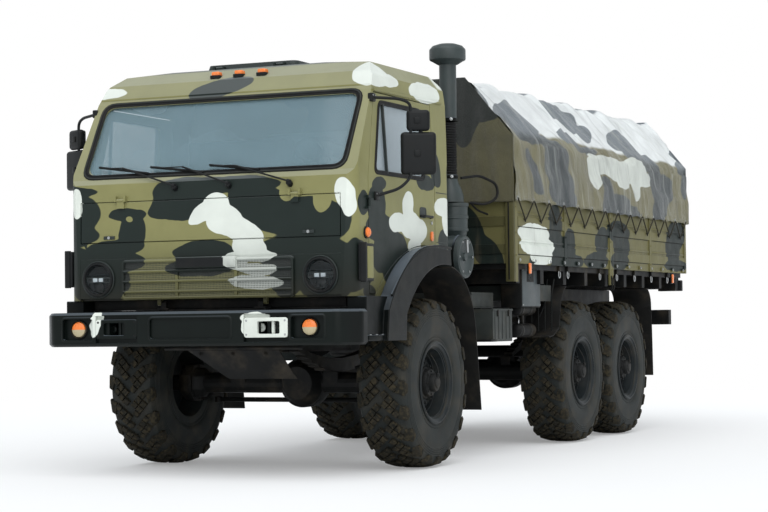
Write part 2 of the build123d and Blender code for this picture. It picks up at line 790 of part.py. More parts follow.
# Tailgate between the rear posts, hinged along its lower outer edge
tailgate_half = board_outer - board_wall + post_proud - part_gap
tailgate_low = board_bottom + floor_rise + part_gap
tailgate_back = board_rear
with BuildPart() as tailgate:
    add(block((-tailgate_half, tailgate_half), (tailgate_back - tailgate_wall, tailgate_back - band_proud),
              (tailgate_low, board_top)))
    for share in band_heights:
        z = board_bottom + share * board_height
        add(block((-tailgate_half + 70, tailgate_half - 70), (tailgate_back - 20, tailgate_back),
                  (z - band_height / 2, z + band_height / 2)))
    # Hinge leaves and barrels
    for x in gate_hinges:
        span = (x - gate_barrel / 2, x + gate_barrel / 2)
        add(block(span, (tailgate_back - 20, gate_hinge_y - gate_pin - leaf_clear),
                  (gate_hinge_z, tailgate_low + gate_leaf)))
        add(cross_rod(span, gate_hinge_y, gate_hinge_z, gate_eye, sides=8))
        add(cross_rod(span, gate_hinge_y, gate_hinge_z, gate_pin + running_gap), mode=Mode.SUBTRACT)
tailgate.part.label = "tailgate"
export_step(tailgate.part, "parts/tailgate.step")

# Tarpaulin laced over the boards, closed at both ends down to the headboard and tailgate
tarp_half = body_half + seat_gap + tarp_wall
tarp_front = body_front - seat_gap - tarp_wall
curtain_low = board_top + 12


def tarp_section(y, eave, ridge, inset):
    """Outline of the cover across the truck at one place along it."""
    half = tarp_half - inset
    top = ridge - inset
    with BuildSketch(Plane.XZ.offset(-y)) as outline:
        with BuildLine():
            Polyline(
                (-half, hem_height),
                (-half, eave),
                (-ridge_half_width, top),
                (ridge_half_width, top),
                (half, eave),
                (half, hem_height),
                close=True,
            )
        make_face()
    return outline.sketch


with BuildPart() as tarp_hollow:
    add(tarp_section(tarp_front + tarp_wall, eave_front, ridge_front, tarp_wall))
    add(tarp_section(rear_y - tarp_wall, eave_rear, ridge_rear, tarp_wall))
    loft(ruled=True)
with BuildPart() as tarpaulin:
    add(tarp_section(tarp_front, eave_front, ridge_front, 0))
    add(tarp_section(rear_y, eave_rear, ridge_rear, 0))
    loft(ruled=True)
    add(tarp_hollow.part, mode=Mode.SUBTRACT)
    add(block((-tarp_half + tarp_wall, tarp_half - tarp_wall), (rear_y - 200, rear_y + 10),
              (hem_height - 10, curtain_low)),
        mode=Mode.SUBTRACT)
tarpaulin.part.label = "tarpaulin"
export_step(tarpaulin.part, "parts/tarpaulin.step")

# Hoops that hold the cover up, standing on the boards
bow_radius = 19.0
bow_count = 5
bow_inset = 30.0
bow_clear = 6.0
bow_x = board_outer - board_wall / 2 + post_proud / 2
with BuildPart() as tarp_bows:
    for index in range(bow_count):
        share = (index + 0.5) / bow_count
        y = body_front + 60 + share * (board_rear - body_front - 120)
        eave = eave_front + share * (eave_rear - eave_front) - bow_inset
        ridge = ridge_front + share * (ridge_rear - ridge_front) - tarp_wall - bow_radius - bow_clear
        add(bent_bar([(bow_x, y, board_top + seat_gap), (bow_x, y, eave), (ridge_half_width - 12, y, ridge),
                      (-ridge_half_width + 12, y, ridge), (-bow_x, y, eave),
                      (-bow_x, y, board_top + seat_gap)],
                     bow_radius))
tarp_bows.part.label = "tarp_bows"
export_step(tarp_bows.part, "parts/tarp_bows.step")

# Mudguards and rubber flaps fixed to the chassis
guard_wall = 9.0
guard_inner = 845.0
guard_outer = 1222.0
stay_z = 1080.0
stay_radius = 20.0


def guard_shell(outline_arc, drop_points):
    """A thin guard along an arc, with straight runs after it, across the wheel's width."""
    with BuildPart() as piece:
        with BuildSketch(Plane.YZ.offset(guard_inner)):
            with BuildLine():
                arc = ThreePointArc(*outline_arc)
                Polyline(arc @ 1, *drop_points)
                offset(amount=guard_wall, side=Side.LEFT)
            make_face()
        extrude(amount=guard_outer - guard_inner)
    return piece.part


def guard_stay(y):
    """A bar from the frame's side to a guard."""
    return rod((rail_outer + seat_gap, y, stay_z), (guard_inner + 40, y, stay_z), stay_radius, sides=6)


with BuildPart() as mudguards_front:
    add(guard_shell([(axle_1 + 305, 1472), (axle_1 + 592, 1345), (axle_1 + 772, 1030)],
                    [(axle_1 + 800, 860), (axle_1 + 868, 385)]))
    add(guard_stay(axle_1 + 764))
    mirror(about=Plane.YZ)
mudguards_front.part.label = "mudguards_front"
export_step(mudguards_front.part, "parts/mudguards_front.step")

with BuildPart() as mudguards:
    add(guard_shell([(axle_2 - 440, bearer_low - 12), (axle_2 - 545, 1290), (axle_2 - 600, 1150)],
                    [(axle_2 - 640, 1010), (axle_2 - 780, 945), (axle_2 - 890, 935)]))
    add(guard_shell([(axle_3 + 600, bearer_low - 12), (axle_3 + 700, 1310), (axle_3 + 740, 1200)],
                    [(axle_3 + 760, 960), (axle_3 + 775, 525)]))
    add(guard_stay(axle_2 - 620))
    add(guard_stay(axle_3 + 750))
    mirror(about=Plane.YZ)
mudguards.part.label = "mudguards"
export_step(mudguards.part, "parts/mudguards.step")

# Cab volume: where a side profile, a plan and a front view meet, drawn in by an inset
arch_arc = [(207.0, arch_floor), (-309.0, 1398.0), (-545.0, cab_sill)]


def cab_volume(inset):
    """The cab's closed outer form, or the same form a given wall smaller all round."""
    with BuildPart() as piece:
        with BuildSketch(Plane.YZ.offset(-cab_half)):
            with BuildLine():
                curve = ThreePointArc(*[(axle_1 + y, z) for y, z in arch_arc])
                Polyline(
                    curve @ 1,
                    (cab_front, cab_sill),
                    (cab_front + 12, belt_height),
                    (cab_front + 50, screen_base),
                    (cab_front + 378, screen_top),
                    (cab_front + 470, screen_top + 145),
                    (cab_front + 640, roof_height),
                    (cab_rear - 90, roof_height),
                    (cab_rear, roof_height - 90),
                    (cab_rear, arch_floor),
                    curve @ 0,
                )
            make_face()
            if inset:
                offset(amount=-inset, mode=Mode.REPLACE)
        extrude(amount=cab_width)
        with BuildSketch(Plane.XY):
            with Locations((0, (cab_front + cab_rear) / 2)):
                RectangleRounded(cab_width - 2 * inset, cab_rear - cab_front - 2 * inset,
                                 cab_corner - inset)
        extrude(amount=roof_height + 100, mode=Mode.INTERSECT)
        with BuildSketch(Plane.XZ.offset(-cab_front + 100)):
            with BuildLine():
                Polyline(
                    (-cab_half + inset, 0),
                    (-cab_half + inset, belt_height),
                    (-cab_half + gutter_inset + inset, screen_top),
                    (-cab_half + gutter_inset + 24 + inset, roof_height - 130),
                    (-cab_half + gutter_inset + 110 + inset, roof_height - 22 - inset),
                    (-cab_half * 0.55, roof_height - inset),
                    (cab_half * 0.55, roof_height - inset),
                    (cab_half - gutter_inset - 110 - inset, roof_height - 22 - inset),
                    (cab_half - gutter_inset - 24 - inset, roof_height - 130),
                    (cab_half - gutter_inset - inset, screen_top),
                    (cab_half - inset, belt_height),
                    (cab_half - inset, 0),
                    close=True,
                )
            make_face()
        extrude(amount=-(cab_rear - cab_front + 200), mode=Mode.INTERSECT)
    return piece.part


cab_outside = cab_volume(0)
cab_inside = cab_volume(cab_wall)
glass_inside = cab_volume(glass_depth)
glass_back = cab_volume(glass_depth + glass_thickness)

# Outlines in the side view: the door and its window, and in the front view the openings
door_arc = [(-60.0, 1622.0), (-564.0, 1497.0), (-905.0, 1262.0)]
window_low = 2128.0
window_high = 2612.0
window_corner = 45.0
pillar_lean = 0.50


def door_outline(shrink):
    """Door edge in the side view, drawn in by a gap."""
    with BuildSketch(Plane.YZ) as outline:
        with BuildLine():
            curve = ThreePointArc(*[(axle_1 + y, z) for y, z in door_arc])
            Polyline(
                curve @ 1,
                (axle_1 - door_front, door_arc[2][1]),
                (axle_1 - door_front, belt_height),
                (axle_1 - door_front + (door_top - belt_height) * pillar_lean * 0.6, door_top),
                (axle_1 + door_rear, door_top),
                (axle_1 + door_rear, door_arc[0][1]),
                curve @ 0,
            )
        make_face()
        if shrink:
            offset(amount=-shrink, mode=Mode.REPLACE)
    return outline.sketch


def window_outline():
    """Door window with its front edge leaning like the pillar."""
    front = axle_1 - door_front + 105
    with BuildSketch(Plane.YZ) as outline:
        with BuildLine():
            Polyline(
                (front + 30, window_low),
                (front + 30 + (window_high - window_low) * pillar_lean * 0.55, window_high),
                (axle_1 - 30, window_high),
                (axle_1 - 30, window_low),
                close=True,
            )
        make_face()
        fillet(outline.vertices(), radius=window_corner)
    return outline.sketch


def front_outline(half, low, high, corner):
    """A rounded rectangle in the front view."""
    with BuildSketch(Plane.XZ.offset(-cab_front + 60)) as outline:
        with Locations((0, (low + high) / 2)):
            RectangleRounded(2 * half, high - low, corner)
    return outline.sketch


screen_half = 1052.0
screen_low = 2146.0
screen_high = 2692.0
screen_corner = 80.0
screen_lip = 14.0
screen_cut = 620.0
rear_window_half = 420.0
rear_window_low = 2180.0
rear_window_high = 2560.0
rear_window_corner = 60.0
hatch_half = 380.0
hatch_front = axle_1 - 560
hatch_rear = axle_1 - 40
hatch_frame = 40.0
tunnel_half = tunnel_width / 2

# Hinges on the cab: lugs and a pin on the shell, a barrel on what swings
hinge_eye = 10.0
hinge_pin = 5.0
hinge_barrel = 60.0
hinge_lug = 16.0
hinge_x = cab_half + 12
hinge_y = axle_1 - door_front - 6
door_hinge_z = (1420.0, 1900.0)
flap_hinge_y = cab_front - 8
flap_hinge_z = flap_high + 6
flap_hinges = (-700.0, 700.0)
hatch_hinge_y = hatch_front - 14
hatch_hinge_z = roof_height + 14
hatch_hinges = (-250.0, 250.0)

panel_recess = 30.0
with BuildPart() as tunnel:
    add(block((-tunnel_half - cab_wall, tunnel_half + cab_wall), (cab_front + cab_wall - 1, cab_rear - 1),
              (cab_sill, tunnel_top + cab_wall)))
    add(cab_outside, mode=Mode.INTERSECT)

door_inner = cab_half - cab_wall - 60
with BuildPart() as door_openings:
    extrude(door_outline(0), amount=cab_half + 50, dir=(1, 0, 0), both=True)
    add(block((-door_inner, door_inner), (cab_front - 100, cab_rear + 100), (0, roof_height + 100)),
        mode=Mode.SUBTRACT)

with BuildPart() as cab_shell:
    add(cab_outside)
    add(cab_inside, mode=Mode.SUBTRACT)
    # Engine tunnel, open to the ground and closed above
    add(tunnel.part)
    add(block((-tunnel_half, tunnel_half), (cab_front + cab_wall, cab_rear + 10),
              (cab_sill - 10, tunnel_top)), mode=Mode.SUBTRACT)
    # Lugs of the front pivots
    for side in (1, -1):
        inner = side * (tilt_x + tilt_ear_width / 2 + 1)
        outer = inner + side * tilt_lug_width
        add(block(sorted((inner, outer)), (tilt_y - tilt_radius, tilt_y + tilt_radius),
                  (tilt_z, cab_sill + 1)))
        add(rod((inner, tilt_y, tilt_z), (outer, tilt_y, tilt_z), tilt_radius, sides=12))
        add(rod((inner, tilt_y, tilt_z), (outer, tilt_y, tilt_z), tilt_pin_radius + running_gap),
            mode=Mode.SUBTRACT)
    # Windscreen and rear window
    extrude(front_outline(screen_half - screen_lip, screen_low + screen_lip, screen_high - screen_lip,
                          screen_corner),
            amount=screen_cut, dir=(0, 1, 0), mode=Mode.SUBTRACT)
    with BuildSketch(Plane.XZ.offset(-cab_rear - 20)):
        with Locations((0, (rear_window_low + rear_window_high) / 2)):
            RectangleRounded(2 * rear_window_half, rear_window_high - rear_window_low, rear_window_corner)
    extrude(amount=120, mode=Mode.SUBTRACT)
    # Recesses of the service flap and the grille, the latter open to the engine tunnel
    add(block((-flap_half_width, flap_half_width), (cab_front - 20, cab_front + panel_recess),
              (flap_low, flap_high)), mode=Mode.SUBTRACT)
    add(block((-flap_half_width, flap_half_width), (cab_front - 20, cab_front + panel_recess),
              (grille_low - 20, grille_high)), mode=Mode.SUBTRACT)
    add(block((-tunnel_half, tunnel_half), (cab_front - 20, cab_front + cab_wall + 20),
              (grille_low - 20, grille_high)), mode=Mode.SUBTRACT)
    # Roof hatch opening
    add(block((-hatch_half + hatch_frame, hatch_half - hatch_frame),
              (hatch_front + hatch_frame, hatch_rear - hatch_frame),
              (roof_height - 200, roof_height + 20)), mode=Mode.SUBTRACT)
    # Door openings
    add(door_openings.part, mode=Mode.SUBTRACT)
    # Lugs and pins of the doors' hinges
    for side in (1, -1):
        x = side * hinge_x
        for z in door_hinge_z:
            for end in (-1, 1):
                low = z + end * (hinge_barrel / 2 + 1)
                add(block(sorted((side * (cab_half - 2), x + side * hinge_eye)),
                          (hinge_y - 34, hinge_y + hinge_eye),
                          sorted((low, low + end * hinge_lug))))
            reach = hinge_barrel / 2 + 1 + hinge_lug
            add(rod((x, hinge_y, z - reach), (x, hinge_y, z + reach), hinge_pin, sides=8))
    # Lugs and pins of the flap's hinges, above it, and of the hatch's, ahead of it
    for x in flap_hinges:
        for end in (-1, 1):
            low = x + end * (hinge_barrel / 2 + 1)
            add(block(sorted((low, low + end * hinge_lug)), (flap_hinge_y - hinge_eye, cab_front + 20),
                      (flap_hinge_z - hinge_eye, flap_hinge_z + 30)))
        reach = hinge_barrel / 2 + 1 + hinge_lug
        add(cross_rod((x - reach, x + reach), flap_hinge_y, flap_hinge_z, hinge_pin, sides=8))
    for x in hatch_hinges:
        for end in (-1, 1):
            low = x + end * (hinge_barrel / 2 + 1)
            add(block(sorted((low, low + end * hinge_lug)), (hatch_hinge_y - 20, hatch_hinge_y + hinge_eye),
                      (roof_height - 1, hatch_hinge_z + hinge_eye)))
        reach = hinge_barrel / 2 + 1 + hinge_lug
        add(cross_rod((x - reach, x + reach), hatch_hinge_y, hatch_hinge_z, hinge_pin, sides=8))
cab_shell.part.label = "cab_shell"
export_step(cab_shell.part, "parts/cab_shell.step")

# Doors with their glass: the cab's own wall inside the door outline
door_in = door_outline(shut_gap)
door_lip = 12.0
door_rebate = 16.0
door_glass_out = cab_volume(door_lip)
door_glass_back = cab_volume(door_lip + glass_thickness)
# Step round the inner side of each door, so that it swings clear of its opening
with BuildPart() as door_step:
    add(door_glass_out)
    extrude(door_outline(shut_gap + door_rebate), amount=cab_half + 60, dir=(1, 0, 0), both=True,
            mode=Mode.SUBTRACT)
for name, side in (("left", 1), ("right", -1)):
    with BuildPart() as door:
        add(cab_outside)
        add(cab_inside, mode=Mode.SUBTRACT)
        extrude(door_in, amount=cab_half + 60, dir=(side, 0, 0), mode=Mode.INTERSECT)
        extrude(window_outline(), amount=cab_half + 60, dir=(side, 0, 0), mode=Mode.SUBTRACT)
        add(block(sorted((0, side * door_inner)), (cab_front - 100, cab_rear + 100),
                  (0, roof_height + 100)), mode=Mode.SUBTRACT)
        add(block(sorted((0, side * (cab_half - cab_wall))), (cab_front - 100, cab_rear + 100),
                  (0, belt_height)), mode=Mode.SUBTRACT)
        add(door_step.part, mode=Mode.SUBTRACT)
        x = side * hinge_x
        for z in door_hinge_z:
            span = (z - hinge_barrel / 2, z + hinge_barrel / 2)
            add(block(sorted((side * (cab_half - 2), x)), (hinge_y + hinge_pin + leaf_clear, hinge_y + 70),
                      span))
            add(rod((x, hinge_y, span[0]), (x, hinge_y, span[1]), hinge_eye, sides=8))
            add(rod((x, hinge_y, span[0]), (x, hinge_y, span[1]), hinge_pin + running_gap),
                mode=Mode.SUBTRACT)
    door.part.label = f"door_{name}"
    export_step(door.part, f"parts/door_{name}.step")

    with BuildPart() as glass:
        add(door_glass_out)
        add(door_glass_back, mode=Mode.SUBTRACT)
        extrude(window_outline(), amount=cab_half + 60, dir=(side, 0, 0), mode=Mode.INTERSECT)
        add(block(sorted((0, side * 900)), (cab_front - 100, cab_rear + 100), (0, roof_height + 100)),
            mode=Mode.SUBTRACT)
    glass.part.label = f"door_glass_{name}"
    export_step(glass.part, f"parts/door_glass_{name}.step")

# Windscreen and rear window, fitted in their openings
with BuildPart() as cab_glass:
    add(glass_inside)
    add(glass_back, mode=Mode.SUBTRACT)
    pane_lip = screen_lip + seat_gap
    extrude(front_outline(screen_half - pane_lip, screen_low + pane_lip, screen_high - pane_lip,
                          screen_corner),
            amount=screen_cut, dir=(0, 1, 0), mode=Mode.INTERSECT)
    with BuildSketch(Plane.XZ.offset(-cab_rear + 15)):
        with Locations((0, (rear_window_low + rear_window_high) / 2)):
            RectangleRounded(2 * (rear_window_half - seat_gap),
                             rear_window_high - rear_window_low - 2 * seat_gap,
                             rear_window_corner)
    extrude(amount=glass_thickness)
cab_glass.part.label = "cab_glass"
export_step(cab_glass.part, "parts/cab_glass.step")

# Front service flap, and the grille panel below it
with BuildPart() as front_flap:
    add(cab_outside)
    add(cab_volume(flap_wall), mode=Mode.SUBTRACT)
    add(block((-flap_half_width + shut_gap, flap_half_width - shut_gap), (cab_front - 20, cab_front + 60),
              (flap_low + shut_gap, flap_high - shut_gap)), mode=Mode.INTERSECT)
    for x in flap_hinges:
        span = (x - hinge_barrel / 2, x + hinge_barrel / 2)
        add(block(span, (flap_hinge_y, cab_front + 20),
                  (flap_hinge_z - 60, flap_hinge_z - hinge_pin - leaf_clear)))
        add(cross_rod(span, flap_hinge_y, flap_hinge_z, hinge_eye, sides=8))
        add(cross_rod(span, flap_hinge_y, flap_hinge_z, hinge_pin + running_gap), mode=Mode.SUBTRACT)
front_flap.part.label = "front_flap"
export_step(front_flap.part, "parts/front_flap.step")

headlamp_x = 890.0
headlamp_z = 1400.0
headlamp_radius = 118.0
slot_half = 675.0
slot_low = 1284.0
slot_high = 1512.0
slot_count = 4
slat_height = 20.0
post_x = 237.0
post_half = 14.0
with BuildPart() as grille_panel:
    add(cab_outside)
    add(cab_volume(grille_wall), mode=Mode.SUBTRACT)
    add(block((-flap_half_width + seat_gap, flap_half_width - seat_gap),
              (cab_front - 20, cab_front + panel_recess - seat_gap),
              (grille_low + 12, grille_high - seat_gap)), mode=Mode.INTERSECT)
    slot_height = (slot_high - slot_low - (slot_count - 1) * slat_height) / slot_count
    for index in range(slot_count):
        low = slot_low + index * (slot_height + slat_height)
        for left, right in ((-slot_half, -post_x - post_half), (-post_x + post_half, post_x - post_half),
                            (post_x + post_half, slot_half)):
            add(block((left, right), (cab_front - 20, cab_front + 60), (low, low + slot_height)),
                mode=Mode.SUBTRACT)
    for side in (1, -1):
        add(rod((side * headlamp_x, cab_front - 20, headlamp_z),
                (side * headlamp_x, cab_front + 60, headlamp_z),
                headlamp_radius + seat_gap), mode=Mode.SUBTRACT)
grille_panel.part.label = "grille_panel"
export_step(grille_panel.part, "parts/grille_panel.step")

# Lamps on the cab: roof markers and headlamps
# x, y, width, height
roof_markers = [
    (-190.0, axle_1 - 730, 66, 34),
    (0.0, axle_1 - 730, 66, 34),
    (190.0, axle_1 - 730, 66, 34),
]
with BuildPart() as cab_lamps:
    for x, y, width, height in roof_markers:
        add(block((x - width / 2, x + width / 2), (y - 30, y + 30),
                  (roof_height - 120, roof_height - 62 + height)))
    add(cab_outside.moved(Location((0, 0, seat_gap))), mode=Mode.SUBTRACT)
    for side in (1, -1):
        add(rod((side * headlamp_x, cab_front - 12, headlamp_z),
                (side * headlamp_x, cab_front + panel_recess - seat_gap, headlamp_z), headlamp_radius))
cab_lamps.part.label = "cab_lamps"
export_step(cab_lamps.part, "parts/cab_lamps.step")

# Roof hatch, hinged at its front edge
with BuildPart() as roof_hatch:
    with BuildSketch(Plane.XY.offset(roof_height + 4)):
        with Locations((0, (hatch_front + hatch_rear) / 2)):
            RectangleRounded(2 * hatch_half, hatch_rear - hatch_front, 60)
    extrude(amount=38, taper=20)
    for x in hatch_hinges:
        span = (x - hinge_barrel / 2, x + hinge_barrel / 2)
        add(block(span, (hatch_hinge_y + hinge_pin + leaf_clear, hatch_front + 20),
                  (hatch_hinge_z - 8, hatch_hinge_z + 8)))
        add(cross_rod(span, hatch_hinge_y, hatch_hinge_z, hinge_eye, sides=8))
        add(cross_rod(span, hatch_hinge_y, hatch_hinge_z, hinge_pin + running_gap), mode=Mode.SUBTRACT)
roof_hatch.part.label = "roof_hatch"
export_step(roof_hatch.part, "parts/roof_hatch.step")

# Wheel arch flares and the step legs below them, one on each side of the cab
flare_proud = 100.0
leg_inner = 1060.0
leg_outer = 1205.0
leg_low = 940.0
leg_back = axle_1 - 655
step_wall = 40.0
flare_inner_arc = [(207.0, 1483.0), (-309.0, 1376.0), (-592.0, 1120.0)]
flare_outer_arc = [(-906.0, 1155.0), (-564.0, 1483.0), (-4.0, 1612.0)]
with BuildPart() as cab_arches:
    with BuildSketch(Plane.YZ.offset(cab_half + seat_gap)):
        with BuildLine():
            inner = ThreePointArc(*[(axle_1 + y, z) for y, z in flare_inner_arc])
            outer = ThreePointArc(*[(axle_1 + y, z) for y, z in flare_outer_arc])
            Polyline(inner @ 1, (axle_1 - 606, leg_low), (axle_1 - 936, leg_low), outer @ 0)
            Polyline(outer @ 1, (axle_1 + 232, 1600), (axle_1 + 245, 1486), inner @ 0)
        make_face()
    extrude(amount=flare_proud - seat_gap)
    add(block((leg_inner, leg_outer), (cab_front + 60, leg_back),
              (leg_low + step_wall, cab_sill - seat_gap)))
    add(block((leg_inner, leg_outer + 14), (cab_front + 50, leg_back), (leg_low, leg_low + step_wall)))
    mirror(about=Plane.YZ)
cab_arches.part.label = "cab_arches"
export_step(cab_arches.part, "parts/cab_arches.step")

# Dashboard with the steering column
wheel_centre = (650.0, axle_1 - 660, 2285.0)
wheel_lean = 25.0
wheel_radius = 235.0
grip_radius = 16.0
column_radius = 34.0
boss_radius = 55.0
boss_low = 40.0
boss_high = 20.0
lean = radians(wheel_lean)
column_length = (wheel_centre[2] - cab_sill - cab_wall - 20) / cos(lean)
column_foot = (wheel_centre[0], wheel_centre[1] - column_length * sin(lean),
               wheel_centre[2] - column_length * cos(lean))
column_head = (wheel_centre[0], wheel_centre[1] - boss_low * sin(lean),
               wheel_centre[2] - boss_low * cos(lean))
dash_half = 1030.0


def dash_seat(z):
    """Where the dashboard meets the cab's leaning front wall at a height."""
    return cab_front + cab_wall + 12 * (z - cab_sill) / (belt_height - cab_sill) + 2 * seat_gap


with BuildPart() as dashboard:
    add(side_plate([(dash_seat(1800), 1800), (dash_seat(2030), 2030), (cab_front + 110, 2058),
                    (cab_front + 330, 2050), (cab_front + 360, 1980), (cab_front + 300, 1800)],
                   (-dash_half, dash_half)))
    add(rod(column_foot, column_head, column_radius, sides=8))
    add(block((wheel_centre[0] - 60, wheel_centre[0] + 60), (column_foot[1] - 50, column_foot[1] + 60),
              (cab_sill + cab_wall + seat_gap, cab_sill + cab_wall + 60)))
dashboard.part.label = "dashboard"
export_step(dashboard.part, "parts/dashboard.step")

with BuildPart() as steering_wheel:
    rim_plane = Plane(origin=wheel_centre, x_dir=(1, 0, 0), z_dir=(0, sin(lean), cos(lean)))
    with BuildSketch(Plane(origin=wheel_centre, x_dir=(1, 0, 0), z_dir=(0, -cos(lean), sin(lean)))):
        with Locations((wheel_radius - grip_radius, 0)):
            RegularPolygon(grip_radius, 6)
    revolve(axis=Axis(wheel_centre, (0, sin(lean), cos(lean))))
    column_axis = Vector(0, sin(lean), cos(lean))
    add(rod(tuple(Vector(*wheel_centre) - column_axis * (boss_low - seat_gap)),
            tuple(Vector(*wheel_centre) + column_axis * boss_high), boss_radius))
    with BuildSketch(rim_plane):
        for turn in (30, 150, 270):
            with Locations(Location((0, 0, 0), (0, 0, turn))):
                with Locations(((wheel_radius - grip_radius) / 2, 0)):
                    Rectangle(wheel_radius - grip_radius, 30)
    extrude(amount=7, both=True)
steering_wheel.part.label = "steering_wheel"
export_step(steering_wheel.part, "parts/steering_wheel.step")

# Seats: a driver's seat and a double one, each with a box base, a cushion and a back
seat_front = axle_1 - 380
seat_rear = axle_1 + 130
cushion_low = 1790.0
cushion_wall = 130.0
back_high = 2520.0
# Low x and high x of the driver's seat and of the double one
seats = [(400.0, 900.0), (-960.0, -60.0)]
tunnel_floor = tunnel_top + cab_wall
with BuildPart() as seat_frames:
    for low_x, high_x in seats:
        add(block((low_x + 20, high_x - 20), (seat_front + 20, seat_rear + 60),
                  (tunnel_floor + seat_gap, cushion_low)))
seat_frames.part.label = "seat_bases"
export_step(seat_frames.part, "parts/seat_bases.step")
with BuildPart() as seat_pads:
    for low_x, high_x in seats:
        with BuildSketch(Plane.XY.offset(cushion_low + seat_gap)):
            with Locations(((low_x + high_x) / 2, (seat_front + seat_rear) / 2)):
                RectangleRounded(high_x - low_x, seat_rear - seat_front, 50)
        extrude(amount=cushion_wall)
        add(side_plate([(seat_rear + 5, cushion_low + seat_gap), (seat_rear + 115, cushion_low + seat_gap),
                        (seat_rear + 215, back_high), (seat_rear + 125, back_high)], (low_x, high_x)))
seat_pads.part.label = "seat_pads"
export_step(seat_pads.part, "parts/seat_pads.step")

# Wipers: three arms pivoted under the windscreen, parked to the vehicle's right
wiper_pivots = (-269.0, 175.0, 656.0)
wiper_z = 2052.0
with BuildPart() as wipers:
    for x in wiper_pivots:
        add(rod((x, cab_front + 10.8, wiper_z), (x, cab_front - 30, wiper_z), 16, sides=8))
        add(rod((x, cab_front - 20, wiper_z), (x - 330, cab_front + 52, wiper_z + 102), 7, sides=6))
        add(rod((x - 60, cab_front + 52, wiper_z + 96), (x - 600, cab_front + 52, wiper_z + 108), 9,
                sides=6))
wipers.part.label = "wipers"
export_step(wipers.part, "parts/wipers.step")

# Mirrors: a large and a small one on a bent tube from the door
mirror_x = 1405.0
mirror_y = axle_1 - 720
mirror_turn = 27.0
arm_tube = 11.0
arm_foot = (cab_half + seat_gap, axle_1 - 890, 1950.0)
arm_head = (cab_half - 28, axle_1 - 885, 2642.0)
# Height of the middle, width, height
mirror_sizes = [(2247.0, 235.0, 285.0), (2475.0, 165.0, 150.0)]
for name, side in (("left", 1), ("right", -1)):
    with BuildPart() as mirrors:
        add(bent_bar([(side * (arm_foot[0] + 6), arm_foot[1], arm_foot[2]),
                      (side * (mirror_x - 40), mirror_y - 40, 2080),
                      (side * (mirror_x - 40), mirror_y - 40, 2600),
                      (side * (arm_head[0] + 8), arm_head[1], arm_head[2])], arm_tube, sides=6))
        for x, y, z, reach in ((arm_foot[0], arm_foot[1], arm_foot[2], 35),
                               (arm_head[0], arm_head[1], arm_head[2], 18)):
            add(block(sorted((side * x, side * (x + 24))), (y - 30, y + 30), (z - reach, z + reach)))
        for z, width, height in mirror_sizes:
            plane = Plane(origin=(side * mirror_x, mirror_y, z - height / 2),
                          x_dir=(cos(radians(mirror_turn)), side * sin(radians(mirror_turn)), 0),
                          z_dir=(0, 0, 1))
            with BuildSketch(plane):
                RectangleRounded(width, 62, 25)
            extrude(amount=height)
    mirrors.part.label = f"mirror_{name}"
    export_step(mirrors.part, f"parts/mirror_{name}.step")

# Spare wheel carrier: a portal across the frame behind the cab
portal_y = cab_rear + 300
portal_wall = 70.0
portal_half = 820.0
portal_high = 2100.0
with BuildPart() as spare_carrier:
    for side in (1, -1):
        add(block((side * rail_x - 40, side * rail_x + 40), (portal_y, portal_y + portal_wall),
                  (frame_top + seat_gap, portal_high)))
    add(block((-portal_half, portal_half), (portal_y, portal_y + portal_wall),
              (portal_high - portal_wall, portal_high)))
    add(rod((spare_x, portal_y, spare_z), (spare_x, spare_y + disc_offset - disc_wall - seat_gap, spare_z),
            disc_radius - 20, sides=12))
    add(block((spare_x - 70, spare_x + 70), (portal_y, portal_y + portal_wall),
              (portal_high - 400, portal_high)))
spare_carrier.part.label = "spare_carrier"
export_step(spare_carrier.part, "parts/spare_carrier.step")

# Air intake: a capped stack, a corrugated hose, and the cleaner drum facing left
stack_x = 950.0
stack_y = axle_1 + 940
stack_radius = 67.0
stack_top = 3110.0
stack_cap_radius = 144.0
stack_cap_top = 3250.0
drum_y = axle_1 + 850
drum_z = 1568.0
cleaner_radius = 168.0
cleaner_out = 1150.0
cleaner_in = 860.0
with BuildPart() as air_intake:
    add(rod((stack_x, stack_y, drum_z), (stack_x, stack_y, stack_top), stack_radius))
    add(rod((stack_x, stack_y, stack_top - 10), (stack_x, stack_y, stack_cap_top), stack_cap_radius))
    add(rod((cleaner_in, drum_y, drum_z), (cleaner_out, drum_y, drum_z), cleaner_radius))
    add(block((portal_half - 90, cleaner_in + 40), (portal_y + portal_wall + seat_gap, drum_y + 40),
              (drum_z - 40, drum_z + 40)))
    add(block((rail_outer + seat_gap, cleaner_in + 60), (drum_y - 30, drum_y + 30), (1100, 1160)))
    add(block((cleaner_in, cleaner_in + 60), (drum_y - 30, drum_y + 30), (1100, drum_z)))
air_intake.part.label = "air_intake"
export_step(air_intake.part, "parts/air_intake.step")

# Boxes on the left of the frame
# Inner x, outer x, low y, high y from the front axle, low z, high z
side_boxes = [
    (480.0, 1000.0, 1250.0, 1730.0, 1175.0, 1300.0),
    (560.0, 1150.0, 1330.0, 1760.0, 905.0, 1165.0),
    (620.0, 1150.0, 2050.0, 2680.0, 1236.0, 1364.0),
]
with BuildPart() as frame_boxes:
    for low_x, high_x, low_y, high_y, low_z, high_z in side_boxes:
        add(block((low_x, high_x), (axle_1 + low_y, axle_1 + high_y), (low_z, high_z)))
    # Arms from the rail: level, or raised for the box that stands higher than the rail
    add(block((rail_outer + seat_gap, 500), (axle_1 + 1400, axle_1 + 1440), (1140, 1178)))
    add(block((480, 520), (axle_1 + 1400, axle_1 + 1440), (1140, 1180)))
    add(block((rail_outer + seat_gap, 580), (axle_1 + 1600, axle_1 + 1640), (1060, 1100)))
    add(block((rail_outer + seat_gap, 660), (axle_1 + 2300, axle_1 + 2340), (1130, 1170)))
    add(block((620, 660), (axle_1 + 2300, axle_1 + 2340), (1130, 1240)))
frame_boxes.part.label = "side_boxes"
export_step(frame_boxes.part, "parts/side_boxes.step")

